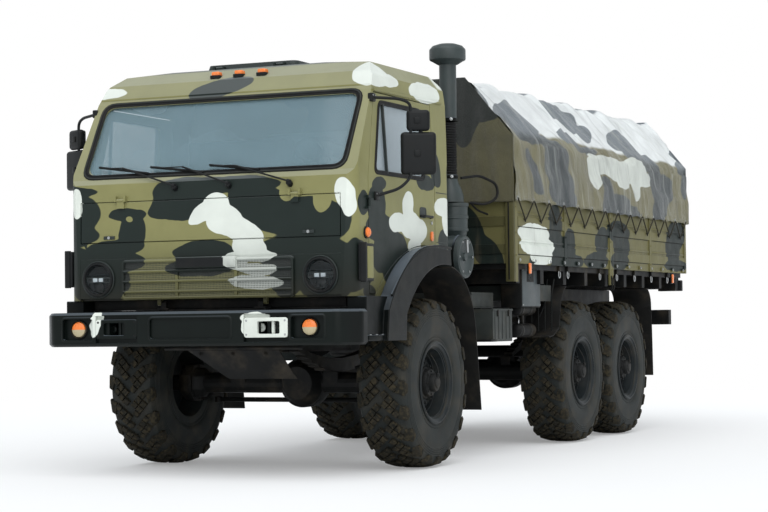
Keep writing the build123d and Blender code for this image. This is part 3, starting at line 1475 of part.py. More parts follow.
# Two air tanks along the left of the frame, on one bracket
tank_radius = 55.0
tank_x = 1060.0
tank_span = (axle_1 + 2090, axle_1 + 2425)
with BuildPart() as air_tanks:
    for z in (1170.0, 990.0):
        add(rod((tank_x, tank_span[0], z), (tank_x, tank_span[1], z), tank_radius))
    add(block((tank_x - 10, tank_x + 10), (axle_1 + 2220, axle_1 + 2260), (960, 1180)))
    add(block((rail_outer + seat_gap, tank_x), (axle_1 + 2220, axle_1 + 2260), (1060, 1100)))
air_tanks.part.label = "air_tanks"
export_step(air_tanks.part, "parts/air_tanks.step")

# Fuel tank on the right of the frame
fuel_x = -880.0
fuel_width = 560.0
fuel_low = 760.0
fuel_high = 1240.0
fuel_front = axle_1 + 1480
fuel_rear = axle_1 + 2400
with BuildPart() as fuel_tank:
    with BuildSketch(Plane.XZ.offset(-fuel_front)):
        with Locations((fuel_x, (fuel_low + fuel_high) / 2)):
            RectangleRounded(fuel_width, fuel_high - fuel_low, 90)
    extrude(amount=-(fuel_rear - fuel_front))
    for y in (fuel_front + 200, fuel_rear - 200):
        add(block((fuel_x + fuel_width / 2 - 20, -rail_outer - seat_gap), (y - 30, y + 30), (1000, 1120)))
fuel_tank.part.label = "fuel_tank"
export_step(fuel_tank.part, "parts/fuel_tank.step")

# Exhaust: a pipe under the rail, a silencer and a tail pipe to the right
silencer_x = -760.0
silencer_z = 1060.0
silencer_radius = 150.0
silencer_span = (axle_1 + 930, axle_1 + 1400)
pipe_radius = 32.0
with BuildPart() as exhaust:
    add(rod((silencer_x, silencer_span[0], silencer_z), (silencer_x, silencer_span[1], silencer_z),
            silencer_radius))
    add(bent_bar([(-engine_half - seat_gap, axle_1 + 380, 890), (-490, axle_1 + 380, 890),
                  (-490, axle_1 + 840, 890),
                  (silencer_x + 60, silencer_span[0] + 10, 1000)], pipe_radius))
    add(rod((silencer_x, silencer_span[1] - 90, silencer_z - 40),
            (-1150, silencer_span[1] - 90, silencer_z - 70), 44, sides=8))
    add(block((silencer_x + silencer_radius - 30, -rail_outer - seat_gap),
              (silencer_span[0] + 200, silencer_span[0] + 260), (1040, 1080)))
exhaust.part.label = "exhaust"
export_step(exhaust.part, "parts/exhaust.step")
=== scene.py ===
from math import cos, hypot, pi, radians, sin
import bmesh
import bpy
from mathutils import Matrix, Vector, noise
from mathutils.bvhtree import BVHTree


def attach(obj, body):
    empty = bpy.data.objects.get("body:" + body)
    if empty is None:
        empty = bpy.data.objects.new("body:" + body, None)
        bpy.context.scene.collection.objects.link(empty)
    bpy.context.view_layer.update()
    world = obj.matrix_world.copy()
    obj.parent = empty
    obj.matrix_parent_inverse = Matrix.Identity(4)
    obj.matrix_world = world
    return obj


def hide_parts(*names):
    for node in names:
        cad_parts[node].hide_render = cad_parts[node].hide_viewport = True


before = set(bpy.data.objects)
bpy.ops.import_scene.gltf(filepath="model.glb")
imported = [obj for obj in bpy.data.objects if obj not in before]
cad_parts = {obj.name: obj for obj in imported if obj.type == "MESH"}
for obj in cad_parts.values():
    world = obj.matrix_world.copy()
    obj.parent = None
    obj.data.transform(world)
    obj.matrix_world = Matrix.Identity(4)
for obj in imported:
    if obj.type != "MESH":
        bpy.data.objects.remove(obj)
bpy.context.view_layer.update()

# Camera, fitted to the view of the truck, in metres, degrees and millimetres
CAMERA_PLACE = Vector((7.037, -16.387, 1.06))
CAMERA_YAW = 24.243
CAMERA_PITCH = 1.893
CAMERA_ROLL = -0.715
CAMERA_LENS = 95.77

# Directions
AHEAD = (0, -1, 0)
LEFT = (1, 0, 0)
UP = (0, 0, 1)

# Places that several pieces share, in metres
AXLES = {"front": -2.55, "middle": 0.79, "rear": 2.11}
HUB_X = 1.03
HUB_Z = 0.622
SPARE_PLACE = (-0.43, -1.46, 2.075)
CAB_FRONT = -3.80
CAB_SIDE = 1.15
BELT_Z = 2.085
SIDE_LEAN = 0.0548
LAMP_X = 0.89
LAMP_Z = 1.40
BUMPER_FACE = -4.050
BUMPER_MIDDLE = 1.043
INDICATOR_X = 0.915
TOW_X = 0.592
STACK = Vector((0.95, -1.61, 0.0))
DRUM = Vector((0.880, -1.70, 1.568))
BODY_FRONT = -0.97
BODY_REAR = 4.05
BAY_LENGTH = 1.2485
TARP_FRONT = -0.982
TARP_LENGTH = 5.032
TARP_SIDE = 1.263
HEM_Z = 2.03
RIDGE_X = 0.845
EYELETS = 14
EYELET_FIRST = -0.93
EYELET_STEP = 0.377
BOWS = [-0.423 + index * 0.975 for index in range(5)]
CLOTH_THICKNESS = 0.003

# Colours of paints and stuffs, from 0 to 255 as on screen
KHAKI = (129, 127, 84)
BODY_KHAKI = (104, 100, 64)
SHADED = (14, 16, 8)
SLATE = (28, 37, 34)
PALE = (214, 219, 211)
CHASSIS_BLACK = (13, 14, 14)
BUMPER_SLATE = (13, 19, 17)
PAINTED_SKY_REFLECTION = (122, 132, 142)
WHEEL_BLACK = (31, 36, 38)
RUBBER = (26, 27, 24)
DUST = (108, 96, 78)
BOX_GREY = (52, 56, 54)
TARP_KHAKI = (112, 107, 72)
TARP_DARK_SIDE = (58, 66, 68)
TARP_DARK_TOP_REFLECTED = (114, 122, 128)
TARP_FOLD_HIGHLIGHT = (190, 194, 186)
TARP_TOP_PALE_AND_REFLECTED = (234, 238, 238)
TARP_DARK_FRONT_SHADED = (24, 34, 30)
TARP_FOLD_SHADE = (40, 44, 42)
ROOF_SKY_REFLECTION = (186, 192, 194)
DAMP_MUD = (54, 50, 42)
DRY_MUD = (88, 79, 60)
SIDEWALL = (33, 37, 36)
MESH_HOLE_SHADE = (16, 18, 15)
SEAT_GREY = (52, 54, 53)
AMBER = (236, 112, 22)

# Faces that meet at less than this many degrees are shaded as one
SMOOTH_ANGLE = 32


def linear(colour):
    """A colour given as 0 to 255 on screen, as the shader wants it."""
    parts = []
    for part in colour:
        share = part / 255
        parts.append(share / 12.92 if share <= 0.04045 else ((share + 0.055) / 1.055) ** 2.4)
    return (*parts, 1.0)


# Finishes


class Value:
    """A number in a finish's node tree that takes part in arithmetic."""

    def __init__(self, finish, socket):
        self.finish = finish
        self.socket = socket

    def __add__(self, other):
        return self.finish.math("ADD", self, other)

    def __rsub__(self, other):
        return self.finish.math("SUBTRACT", other, self)

    def __mul__(self, other):
        return self.finish.math("MULTIPLY", self, other)

    __radd__ = __add__
    __rmul__ = __mul__


class Finish:
    """A material being built, with short words for the nodes that it uses."""

    def __init__(self, name, colour=(128, 128, 128), rough=0.5, metal=0.0, coat=0.0, alpha=1.0, shine=0.5):
        self.material = bpy.data.materials.new(name)
        self.material.use_nodes = True
        self.tree = self.material.node_tree
        self.shader = self.tree.nodes["Principled BSDF"]
        self.shader.inputs["Base Color"].default_value = linear(colour)
        self.shader.inputs["Roughness"].default_value = rough
        self.shader.inputs["Metallic"].default_value = metal
        self.shader.inputs["Coat Weight"].default_value = coat
        self.shader.inputs["Alpha"].default_value = alpha
        self.shader.inputs["Specular IOR Level"].default_value = shine
        self.place = self.node("ShaderNodeTexCoord", output="Object")

    def node(self, kind, settings=None, inputs=None, output=0):
        """Any node, with its settings made before its inputs."""
        made = self.tree.nodes.new(kind)
        for key, value in (settings or {}).items():
            setattr(made, key, value)
        for key, value in (inputs or {}).items():
            self.feed(made.inputs[key], value)
        return Value(self, made.outputs[output])

    def feed(self, socket, value):
        """Links a value to a socket, or sets the socket."""
        if isinstance(value, Value):
            self.tree.links.new(value.socket, socket)
        else:
            socket.default_value = value

    def math(self, operation, *values):
        """A number worked out from other numbers."""
        return self.node("ShaderNodeMath", {"operation": operation}, dict(enumerate(values)))

    def step(self, value, low, high):
        """0 below the low mark, 1 above the high one, and smooth between."""
        words = {"Value": value, "From Min": low, "From Max": high}
        return self.node("ShaderNodeMapRange", {"interpolation_type": "SMOOTHSTEP"}, words)

    def stretched(self, scale, turn=(0, 0, 0)):
        """The piece's own place, scaled and turned for a pattern."""
        return self.node("ShaderNodeMapping", {}, {"Vector": self.place, "Rotation": turn, "Scale": scale})

    def noise(self, scale, detail=3.0, rough=0.55, place=None, output="Fac"):
        """A cloudy pattern, mostly between 0.3 and 0.7."""
        words = {"Vector": place or self.place, "Scale": scale, "Detail": detail, "Roughness": rough}
        return self.node("ShaderNodeTexNoise", {}, words, output)

    def mix(self, share, first, second, blend="MIX"):
        """The first colour at share 0, the second at share 1."""
        made = self.tree.nodes.new("ShaderNodeMix")
        made.data_type = "RGBA"
        made.blend_type = blend
        for socket, value in ((made.inputs[0], share), (made.inputs[6], first), (made.inputs[7], second)):
            self.feed(socket, value)
        return Value(self, made.outputs[2])

    def vector(self, operation, *values, output="Vector"):
        """A vector worked out from other vectors, or one of its numbers."""
        return self.node("ShaderNodeVectorMath", {"operation": operation}, dict(enumerate(values)), output)

    def along(self, axis, place=None):
        """One coordinate of the piece's own place."""
        return self.node("ShaderNodeSeparateXYZ", {}, {0: place or self.place}, axis)

    def upward(self, low=0.35, high=1.0):
        """1 on faces that look up, 0 on walls."""
        normal = self.node("ShaderNodeNewGeometry", output="Normal")
        return self.step(self.along("Z", normal), low, high)

    def front_wall(self):
        """1 on the faces at the front of the body, 0 behind them."""
        return self.step(self.along("Y"), -0.952, -0.968)

    def streaks(self, lean, width, length, low, high):
        """Long narrow bands that lean back from the upright by an angle."""
        words = {"Vector": self.place, "Rotation": (radians(lean), 0, 0), "Scale": (0.8, width, length)}
        bands = self.node("ShaderNodeMapping", {"vector_type": "TEXTURE"}, words)
        return self.step(self.noise(1.0, 3.0, 0.55, bands), low, high)

    def ribs(self, axis, scale):
        """Even waves across one axis."""
        return self.node("ShaderNodeTexWave", {"bands_direction": axis},
                         {"Vector": self.place, "Scale": scale}, "Fac")

    def wear(self, colour, amount=0.12, scale=7.0):
        """The colour, a little lighter and darker from place to place."""
        cloud = self.noise(scale, 5.0)
        shade = self.node("ShaderNodeMapRange", {}, {"Value": cloud, "From Min": 0.3, "From Max": 0.7,
                                                     "To Min": 1 - amount, "To Max": 1 + amount})
        tone = self.node("ShaderNodeCombineXYZ", {}, {0: shade, 1: shade, 2: shade})
        return self.mix(1.0, colour, tone, "MULTIPLY")

    def dusted(self, colour, share):
        """The colour under a thin coat of road dust."""
        return self.mix(share, colour, linear(DUST))

    def set(self, **sockets):
        """Feeds the shader's sockets, each by a short word."""
        words = {"colour": "Base Color", "rough": "Roughness", "alpha": "Alpha"}
        for key, value in sockets.items():
            self.feed(self.shader.inputs[words[key]], value)

    def bump(self, height, distance, strength=1.0):
        """Feeds the shader's normal from a height."""
        words = {"Height": height, "Distance": distance, "Strength": strength}
        self.feed(self.shader.inputs["Normal"], self.node("ShaderNodeBump", {}, words, "Normal"))
        return self

    def reach(self, place, patches):
        """How far a place is from a set of egg-shaped patches: 1 on their rims."""
        least = None
        for centre, radii, turn in patches:
            words = {"Vector": place, "Location": centre, "Rotation": turn, "Scale": radii}
            local = self.node("ShaderNodeMapping", {"vector_type": "TEXTURE"}, words)
            far = self.vector("LENGTH", local, output="Value")
            least = far if least is None else self.math("SMOOTH_MIN", least, far, 0.25)
        return least

    def wobbled(self, place, scale=6.0, amount=0.022):
        """The place moved about a little, so that outlines waver."""
        cloud = self.noise(scale, 2.0, 0.5, place, "Color")
        shift = self.vector("SUBTRACT", cloud, (0.5, 0.5, 0.5))
        words = {0: shift, "Scale": amount * 2}
        return self.vector("ADD", place, self.node("ShaderNodeVectorMath", {"operation": "SCALE"}, words))

    def folded(self, place, shift):
        """The place with the truck's right side laid on its left, moved along."""
        x, y, z = (self.along(axis, place) for axis in "XYZ")
        right = self.math("LESS_THAN", x, 0.0)
        return self.node("ShaderNodeCombineXYZ", {},
                         {0: self.math("ABSOLUTE", x), 1: y + right * shift, 2: z})


# Sprayed rim of a patch, from just outside it to just inside
PATCH_RIM = (1.02, 0.98)


def front_patch(x, z, across, tall, turn=0):
    """An egg-shaped patch on the cab's front: its middle, its radii and its turn."""
    return (x, CAB_FRONT, z), (across, 0.34, tall), (0, radians(turn), 0)


def side_patch(y, z, along, tall, turn=0):
    """The same on a side of the cab, the body or the cover."""
    return (1.17, y, z), (0.3, along, tall), (radians(-turn), 0, 0)


def slope_patch(y, up, along, tall, turn=0):
    """The same on the cover's slope, placed by how far it lies up the slope."""
    tilt = radians(-38.7)
    return (1.25 + sin(tilt) * up, y, 2.585 + cos(tilt) * up), (0.3, along, tall), (radians(-turn), tilt, 0)


def end_patch(x, y, z, across, tall, lean=0.0, deep=0.2):
    """The same on an end wall, leaning by an angle in radians."""
    return (x, y, z), (across, deep, tall), (0, lean, 0)


# The patches of the livery, by part and colour, as the functions above take them
CAB_FRONT_DARK = [front_patch(*row) for row in (
    (-1.00, 1.81, 0.03, 0.18), (-0.65, 1.86, 0.16, 0.05), (-0.61, 1.74, 0.11, 0.14, 12),
    (-0.76, 1.62, 0.25, 0.07, -5), (-0.89, 1.40, 0.27, 0.19), (-0.67, 1.52, 0.17, 0.07),
    (-0.22, 1.92, 0.23, 0.11), (-0.19, 2.01, 0.25, 0.11), (0.12, 2.05, 0.47, 0.06),
    (-0.38, 1.88, 0.10, 0.06), (-0.03, 1.58, 0.25, 0.08), (-0.05, 1.47, 0.29, 0.06),
    (0.43, 1.88, 0.24, 0.15), (0.74, 1.80, 0.37, 0.14), (0.96, 1.76, 0.15, 0.13, 6),
    (0.75, 1.56, 0.37, 0.13), (0.93, 1.39, 0.21, 0.21, 7), (0.63, 1.41, 0.13, 0.16),
    (0.25, 1.95, 0.08, 0.10), (1.13, 1.46, 0.06, 0.19))]
CAB_FRONT_DARK.append(end_patch(-0.10, -3.40, 2.79, 0.26, 0.08, radians(-12), 0.3))
CAB_FRONT_PALE = [front_patch(*row) for row in (
    (0.08, 1.92, 0.10, 0.08, 4), (-0.03, 1.86, 0.13, 0.06, -31), (0.14, 1.80, 0.14, 0.11, 4),
    (0.28, 1.72, 0.18, 0.09, 22), (0.34, 1.60, 0.14, 0.09, 17), (0.37, 1.54, 0.19, 0.04),
    (0.23, 1.51, 0.10, 0.06), (0.41, 1.45, 0.16, 0.04), (0.39, 1.36, 0.21, 0.05),
    (-1.08, 1.95, 0.05, 0.11))]
CAB_FRONT_PALE += [
    end_patch(1.07, CAB_FRONT, 1.96, 0.075, 0.11, radians(-14), 0.10),
    end_patch(1.10, CAB_FRONT, 1.89, 0.05, 0.09, 0, 0.10),
    end_patch(1.06, -3.30, 2.83, 0.13, 0.11, 0, 0.26)]
CAB_FRONT_KHAKI = [front_patch(*row) for row in (
    (0.64, 1.98, 0.07, 0.07, 13), (0.90, 1.93, 0.07, 0.10), (0.79, 2.04, 0.21, 0.05),
    (-0.63, 1.83, 0.03, 0.02, 10))]
CAB_SIDE_DARK = [side_patch(*row) for row in (
    (-3.65, 1.89, 0.08, 0.09, 18), (-3.38, 2.04, 0.12, 0.05, -5), (-3.43, 1.88, 0.16, 0.15, -38),
    (-3.38, 1.73, 0.24, 0.10, -3), (-3.18, 1.64, 0.27, 0.09, 4), (-3.11, 1.54, 0.27, 0.10),
    (-3.38, 1.54, 0.15, 0.12, -8), (-3.14, 1.42, 0.20, 0.10), (-3.57, 1.28, 0.10, 0.05),
    (-2.55, 2.09, 0.17, 0.06), (-2.36, 2.22, 0.10, 0.16, -25), (-2.22, 1.67, 0.10, 0.09, -13))]
CAB_SIDE_PALE = [side_patch(*row) for row in (
    (-2.88, 1.91, 0.10, 0.11, 26), (-3.06, 1.78, 0.16, 0.07, -3), (-2.84, 1.77, 0.18, 0.10, -4),
    (-2.69, 1.73, 0.15, 0.09, -4), (-2.77, 1.62, 0.12, 0.06, -3), (-2.23, 1.93, 0.17, 0.07, -4),
    (-2.14, 1.83, 0.10, 0.12, 10), (-2.44, 2.77, 0.30, 0.085, -3), (-3.12, 2.80, 0.22, 0.06))]
BODY_DARK = [side_patch(*row) for row in (
    (0.03, 1.88, 0.17, 0.19, 19), (0.06, 1.67, 0.26, 0.15, -4), (0.39, 1.72, 0.17, 0.15, -16),
    (0.38, 1.58, 0.41, 0.07), (-0.47, 1.56, 0.14, 0.06), (1.13, 1.60, 0.34, 0.08),
    (1.29, 1.77, 0.19, 0.14, -7), (1.77, 1.88, 0.36, 0.11), (1.88, 1.76, 0.26, 0.12),
    (1.80, 1.61, 0.30, 0.09), (3.58, 1.81, 0.27, 0.24, -20), (3.81, 1.92, 0.18, 0.15, -14),
    (3.66, 1.61, 0.41, 0.06))]
BODY_DARK += [end_patch(*row) for row in (
    (0.86, -0.98, 1.84, 0.10, 0.22, -0.5, 0.12), (1.02, -0.98, 1.60, 0.11, 0.20, -0.6, 0.12),
    (0.2, -0.98, 1.9, 0.35, 0.2, 0.4), (0.7, -0.38, 1.7, 0.3, 0.2), (0.6, 4.03, 1.9, 0.42, 0.24, 0.3),
    (0.5, 4.63, 1.72, 0.34, 0.20, -0.3))]
BODY_PALE = [side_patch(*row) for row in (
    (-0.49, 1.79, 0.39, 0.08), (-0.42, 1.69, 0.43, 0.09), (-0.32, 1.60, 0.27, 0.08))]
BODY_PALE += [end_patch(0.62, 4.03, 2.10, 0.20, 0.09, -0.3), end_patch(0.95, 4.63, 2.02, 0.2, 0.12, 0.3)]
TARP_DARK = [side_patch(*row) for row in (
    (0.03, 2.41, 0.32, 0.21, -9), (0.13, 2.20, 0.31, 0.17, -6), (0.24, 2.08, 0.25, 0.11, -4),
    (-0.54, 2.29, 0.10, 0.26, -44), (1.40, 2.21, 0.16, 0.17, 33), (1.67, 2.12, 0.45, 0.11, -3),
    (2.01, 2.07, 0.39, 0.08), (2.97, 2.53, 0.24, 0.16, -9), (3.18, 2.34, 0.38, 0.18, -5),
    (3.06, 2.14, 0.26, 0.11, -4), (3.97, 2.49, 0.11, 0.21, 6))]
TARP_DARK += [slope_patch(*row) for row in (
    (-1.09, 0.33, 0.14, 0.17, 20), (-0.54, 0.30, 0.32, 0.12, -10), (-0.41, 0.16, 0.36, 0.15, -8),
    (-0.29, 0.02, 0.34, 0.07), (0.94, 0.54, 0.34, 0.15, -9), (1.16, 0.40, 0.26, 0.14, -11),
    (1.33, 0.25, 0.17, 0.09, -21), (0.68, 0.12, 0.31, 0.10), (0.95, 0.04, 0.36, 0.05),
    (2.36, 0.26, 0.31, 0.12, -7), (2.56, 0.15, 0.33, 0.14, -8), (2.73, 0.03, 0.26, 0.10, -8),
    (4.17, 0.21, 0.20, 0.12, -14))]
TARP_DARK += [end_patch(*row, 0.12) for row in (
    (0.83, -0.98, 2.81, 0.13, 0.33, 0), (0.98, -0.98, 2.88, 0.23, 0.15, 0.6),
    (0.1, -0.98, 2.5, 0.5, 0.3, 0.4), (0.7, -0.48, 2.5, 0.35, 0.3, 0), (0.5, 4.05, 2.7, 0.4, 0.22, 0.5),
    (0.6, 4.55, 2.5, 0.35, 0.3, -0.2))]
TARP_PALE = [side_patch(*row) for row in (
    (1.13, 2.40, 0.16, 0.18, 44), (1.37, 2.48, 0.43, 0.09, -4), (1.82, 2.45, 0.44, 0.10, -4),
    (2.35, 2.46, 0.32, 0.15, -5), (2.30, 2.28, 0.14, 0.09, -8), (2.61, 2.41, 0.21, 0.07, -4),
    (1.91, 2.35, 0.20, 0.07, -4))]


def camouflage(finish, far_dark, far_pale, far_khaki=None, elsewhere=None, khaki=KHAKI):
    """Three flat colours in patches with soft sprayed rims."""
    dark = finish.step(far_dark, *PATCH_RIM)
    pale = finish.step(far_pale, *PATCH_RIM)
    if far_khaki:
        dark = dark * (1 - finish.step(far_khaki, *PATCH_RIM))
    if elsewhere:
        zone, loose_dark, loose_pale = elsewhere
        dark = finish.math("MAXIMUM", dark, loose_dark * zone)
        pale = finish.math("MAXIMUM", pale, loose_pale * zone)
    colour = finish.mix(dark, linear(khaki), linear(SLATE))
    return finish.mix(pale, colour, linear(PALE))


def loose_patches(finish):
    """Dark and pale patches for the faces that no list of patches covers."""
    cloud = finish.noise(1.15, 2.0, 0.4)
    other = finish.noise(1.3, 1.0, 0.4, finish.stretched((1, 1, 1), (0.4, 0.7, 1.1)))
    return finish.step(cloud, 0.515, 0.53), finish.step(other, 0.575, 0.59)


def cab_paint():
    """Camouflage of the cab, with a painted sky reflection on the roof and other upward faces and painted
    shade towards the sills.
    """
    finish = Finish("cab_camouflage", rough=0.42, shine=0.22)
    place = finish.wobbled(finish.place)
    side = finish.folded(place, 0.35)
    dark = finish.math("MINIMUM", finish.reach(place, CAB_FRONT_DARK), finish.reach(side, CAB_SIDE_DARK))
    pale = finish.math("MINIMUM", finish.reach(place, CAB_FRONT_PALE), finish.reach(side, CAB_SIDE_PALE))
    height = finish.along("Z")
    roof = finish.step(height, 2.93, 2.95)
    back = finish.step(finish.along("Y"), -2.16, -2.12)
    elsewhere = (finish.math("MAXIMUM", roof, back), *loose_patches(finish))
    colour = camouflage(finish, dark, pale, finish.reach(place, CAB_FRONT_KHAKI), elsewhere)
    colour = finish.wear(colour, 0.06, 5.0)
    # Painted sky reflection on faces that look up
    colour = finish.mix(finish.upward(0.15, 0.95) * 0.24, colour, linear(ROOF_SKY_REFLECTION))
    # Painted shade, darker towards the sills
    colour = finish.mix(finish.step(height, 1.80, 1.22) * 0.60, colour, linear(SHADED))
    grime = finish.step(height + finish.noise(4.0, 4.0) * 0.3, 1.62, 1.22)
    colour = finish.dusted(colour, grime * 0.12)
    finish.set(colour=colour, rough=finish.noise(9.0, 4.0) * 0.25 + 0.30)
    return finish.bump(finish.noise(420.0, 2.0), 0.0004, 0.5).material


def body_paint():
    """Camouflage of the drop sides, with rain streaks of dust."""
    finish = Finish("body_camouflage", rough=0.5, shine=0.18)
    place = finish.wobbled(finish.place)
    side = finish.folded(place, 0.6)
    colour = camouflage(finish, finish.reach(side, BODY_DARK), finish.reach(side, BODY_PALE),
                        khaki=BODY_KHAKI)
    colour = finish.wear(colour, 0.10, 6.0)
    colour = finish.mix(finish.front_wall() * 0.5, colour, linear(SHADED))
    streak = finish.step(finish.noise(3.0, 5.0, 0.6, finish.stretched((3, 3, 0.5))), 0.55, 0.75)
    colour = finish.dusted(colour, streak * 0.25)
    finish.set(colour=colour, rough=finish.noise(8.0, 4.0) * 0.3 + 0.32)
    return finish.bump(finish.noise(260.0, 2.0), 0.0006, 0.5).material


def tarp_cloth():
    """Coated canvas: camouflage on its sides, pale on its top and brightened there to near white as a painted
    sky reflection, with painted highlights and shade along its folds.
    """
    finish = Finish("coated_canvas", rough=0.5, shine=0.3)
    finish.shader.inputs["Sheen Weight"].default_value = 0.25
    place = finish.wobbled(finish.place, 5.0, 0.03)
    side = finish.folded(place, 0.5)
    dark = finish.step(finish.reach(side, TARP_DARK), *PATCH_RIM)
    pale = finish.step(finish.reach(side, TARP_PALE), *PATCH_RIM)
    x, y, height = (finish.along(axis, place) for axis in "XYZ")
    slope = finish.step(height, 2.56, 2.66)
    top = finish.step(height, 2.62, 2.66) * finish.step(y, -0.95, -0.93)
    crown = finish.step(finish.math("ABSOLUTE", x), 0.85, 0.81) * finish.step(height, 2.85, 2.90)
    front = finish.front_wall()
    # Khaki on the sides; on the top a pale ground lifted to near white as a painted sky reflection
    ground_and_reflection = finish.mix(top, linear(TARP_KHAKI), linear(TARP_TOP_PALE_AND_REFLECTED))
    # Dark patches lighter on the slope as a painted sky reflection
    shade = finish.mix(slope, linear(TARP_DARK_SIDE), linear(TARP_DARK_TOP_REFLECTED))
    # Dark patches darker on the front wall as painted shade
    shade = finish.mix(front, shade, linear(TARP_DARK_FRONT_SHADED))
    colour = finish.mix(dark, ground_and_reflection, shade)
    colour = finish.mix(pale, colour, linear(PALE))
    colour = finish.mix(crown * loose_patches(finish)[0], colour, shade)
    colour = finish.wear(colour, 0.12, 4.0)
    # Painted highlights along the folds, pale where the cloth is stretched, and painted shade in the hollows
    fold_highlight = finish.streaks(12.0, 0.055, 0.8, 0.55, 0.72) * (1 - slope)
    fold_highlight = fold_highlight + finish.streaks(38.0, 0.07, 1.1, 0.55, 0.72) * slope
    fold_shade = finish.streaks(20.0, 0.09, 1.0, 0.46, 0.30)
    colour = finish.mix(fold_highlight * (1 - front) * 0.42, colour, linear(TARP_FOLD_HIGHLIGHT))
    colour = finish.mix(fold_shade * 0.30, colour, linear(TARP_FOLD_SHADE))
    colour = finish.mix(front * 0.5, colour, linear(SHADED))
    finish.set(colour=colour, rough=finish.noise(6.0, 4.0) * 0.3 + 0.22)
    crease = finish.noise(2.4, 6.0, 0.62, finish.stretched((1.2, 2.6, 0.8), (0.5, 0, 0)))
    weave = finish.ribs("Z", 180.0) * 0.15 + finish.ribs("Y", 180.0) * 0.15
    return finish.bump(weave + crease * 9.0, 0.006, 0.9).material


def plain_paint(name, colour, rough=0.45, dust=0.15, metal=0.0, wear=0.15, shine=0.2, sky_reflection=0.0):
    """One colour, a little uneven from wear and dusty, with a painted sky reflection on its upward faces
    where the real one shows such a reflection.
    """
    finish = Finish(name, colour, rough, metal, shine=shine)
    tint = finish.wear(linear(colour), wear, 9.0)
    # Painted sky reflection: lighter and bluer on faces that look up
    if sky_reflection:
        tint = finish.mix(finish.upward() * sky_reflection, tint, linear(PAINTED_SKY_REFLECTION))
    settled = finish.step(finish.noise(5.0, 6.0, 0.6), 0.45, 0.8)
    tint = finish.dusted(tint, settled * dust)
    finish.set(colour=tint, rough=finish.noise(12.0, 4.0) * 0.3 + (rough - 0.15))
    return finish.bump(finish.noise(150.0, 3.0), 0.0008, 0.5).material


def bumper_paint():
    """Dark slate with pale overspray near two fittings, black at the ends."""
    finish = Finish("bumper_slate", rough=0.4, shine=0.15)
    place = finish.wobbled(finish.place, 9.0, 0.03)
    pale = finish.reach(place, [end_patch(*row) for row in (
        (0.50, -4.03, 1.115, 0.11, 0.035), (0.43, -4.03, 1.06, 0.035, 0.06),
        (-0.77, -4.03, 1.08, 0.05, 0.10, 0.3))])
    ends = finish.step(finish.math("ABSOLUTE", finish.along("X")), 1.15, 1.22)
    colour = finish.mix(ends * 0.6, finish.wear(linear(BUMPER_SLATE), 0.12, 6.0), linear(CHASSIS_BLACK))
    # Painted sky reflection on faces that look up
    colour = finish.mix(finish.upward() * 0.5, colour, linear(PAINTED_SKY_REFLECTION))
    tint = finish.mix(finish.step(pale, 1.04, 0.96), colour, linear(PALE))
    finish.set(colour=tint, rough=finish.noise(10.0, 4.0) * 0.3 + 0.22)
    return finish.bump(finish.noise(300.0, 2.0), 0.0004, 0.5).material


def tyre_rubber():
    """Tread rubber with mud caked between its blocks."""
    finish = Finish("tyre_rubber", rough=0.85, shine=0.10)
    cloud = finish.noise(11.0, 6.0, 0.6)
    caked = finish.step(finish.noise(38.0, 4.0, 0.65), 0.42, 0.66)
    tint = finish.mix(finish.step(cloud, 0.3, 0.7) * 0.5, linear(RUBBER), linear(DAMP_MUD))
    tint = finish.mix(caked * 0.38, tint, linear(DRY_MUD))
    finish.set(colour=tint, rough=caked * 0.2 + 0.68)
    return finish.bump(finish.noise(90.0, 5.0, 0.7), 0.003, 0.7).material


def wall_rubber():
    """Dusty rubber of the tyre's sides."""
    finish = Finish("sidewall_rubber", rough=0.7, shine=0.22)
    tint = finish.wear(linear(SIDEWALL), 0.15, 8.0)
    tint = finish.dusted(tint, finish.step(finish.noise(7.0, 5.0), 0.4, 0.75) * 0.18)
    finish.set(colour=tint, rough=finish.noise(14.0, 3.0) * 0.2 + 0.52)
    return finish.bump(finish.noise(220.0, 3.0), 0.0006, 0.5).material


def glass(name, colour, alpha, rough=0.04):
    """Clear sheet with a faint haze."""
    finish = Finish(name, colour, rough, alpha=alpha)
    haze = finish.step(finish.noise(1.6, 3.0), 0.35, 0.7)
    finish.set(alpha=haze * 0.10 + (alpha - 0.05))
    return finish.material


def lens(name, colour, rough=0.18):
    """Ribbed lamp glass."""
    finish = Finish(name, colour, rough, coat=0.6)
    ribs = finish.ribs("X", 42.0)
    lighter = [min(255, part + 60) for part in colour]
    finish.set(colour=finish.mix(ribs * 0.25, linear(colour), linear(lighter)))
    return finish.bump(ribs + finish.ribs("Z", 42.0), 0.0015, 0.6).material


def grille_mesh():
    """Pressed radiator mesh behind the bars, its holes painted as shade."""
    finish = Finish("grille_mesh", rough=0.6)
    place = finish.wobbled(finish.place)
    tint = camouflage(finish, finish.reach(place, CAB_FRONT_DARK), finish.reach(place, CAB_FRONT_PALE[5:9]))
    pressed = finish.ribs("X", 26.0) * finish.ribs("Z", 26.0)
    hole_shade = finish.step(pressed, 0.10, 0.45)
    # The holes painted as the shade behind the mesh, and the whole mesh darkened part of the way to that
    # colour
    finish.set(colour=finish.mix(hole_shade * 0.45 + 0.42, tint, linear(MESH_HOLE_SHADE)))
    return finish.bump(pressed, 0.003, 0.7).material


def seat_cloth():
    """Coarse grey upholstery."""
    finish = Finish("seat_cloth", SEAT_GREY, 0.85)
    weave = finish.node("ShaderNodeTexVoronoi", {}, {"Vector": finish.place, "Scale": 420.0}, "Distance")
    finish.set(colour=finish.wear(linear(SEAT_GREY), 0.2, 20.0), rough=weave * 0.2 + 0.7)
    return finish.bump(weave, 0.0012, 0.6).material


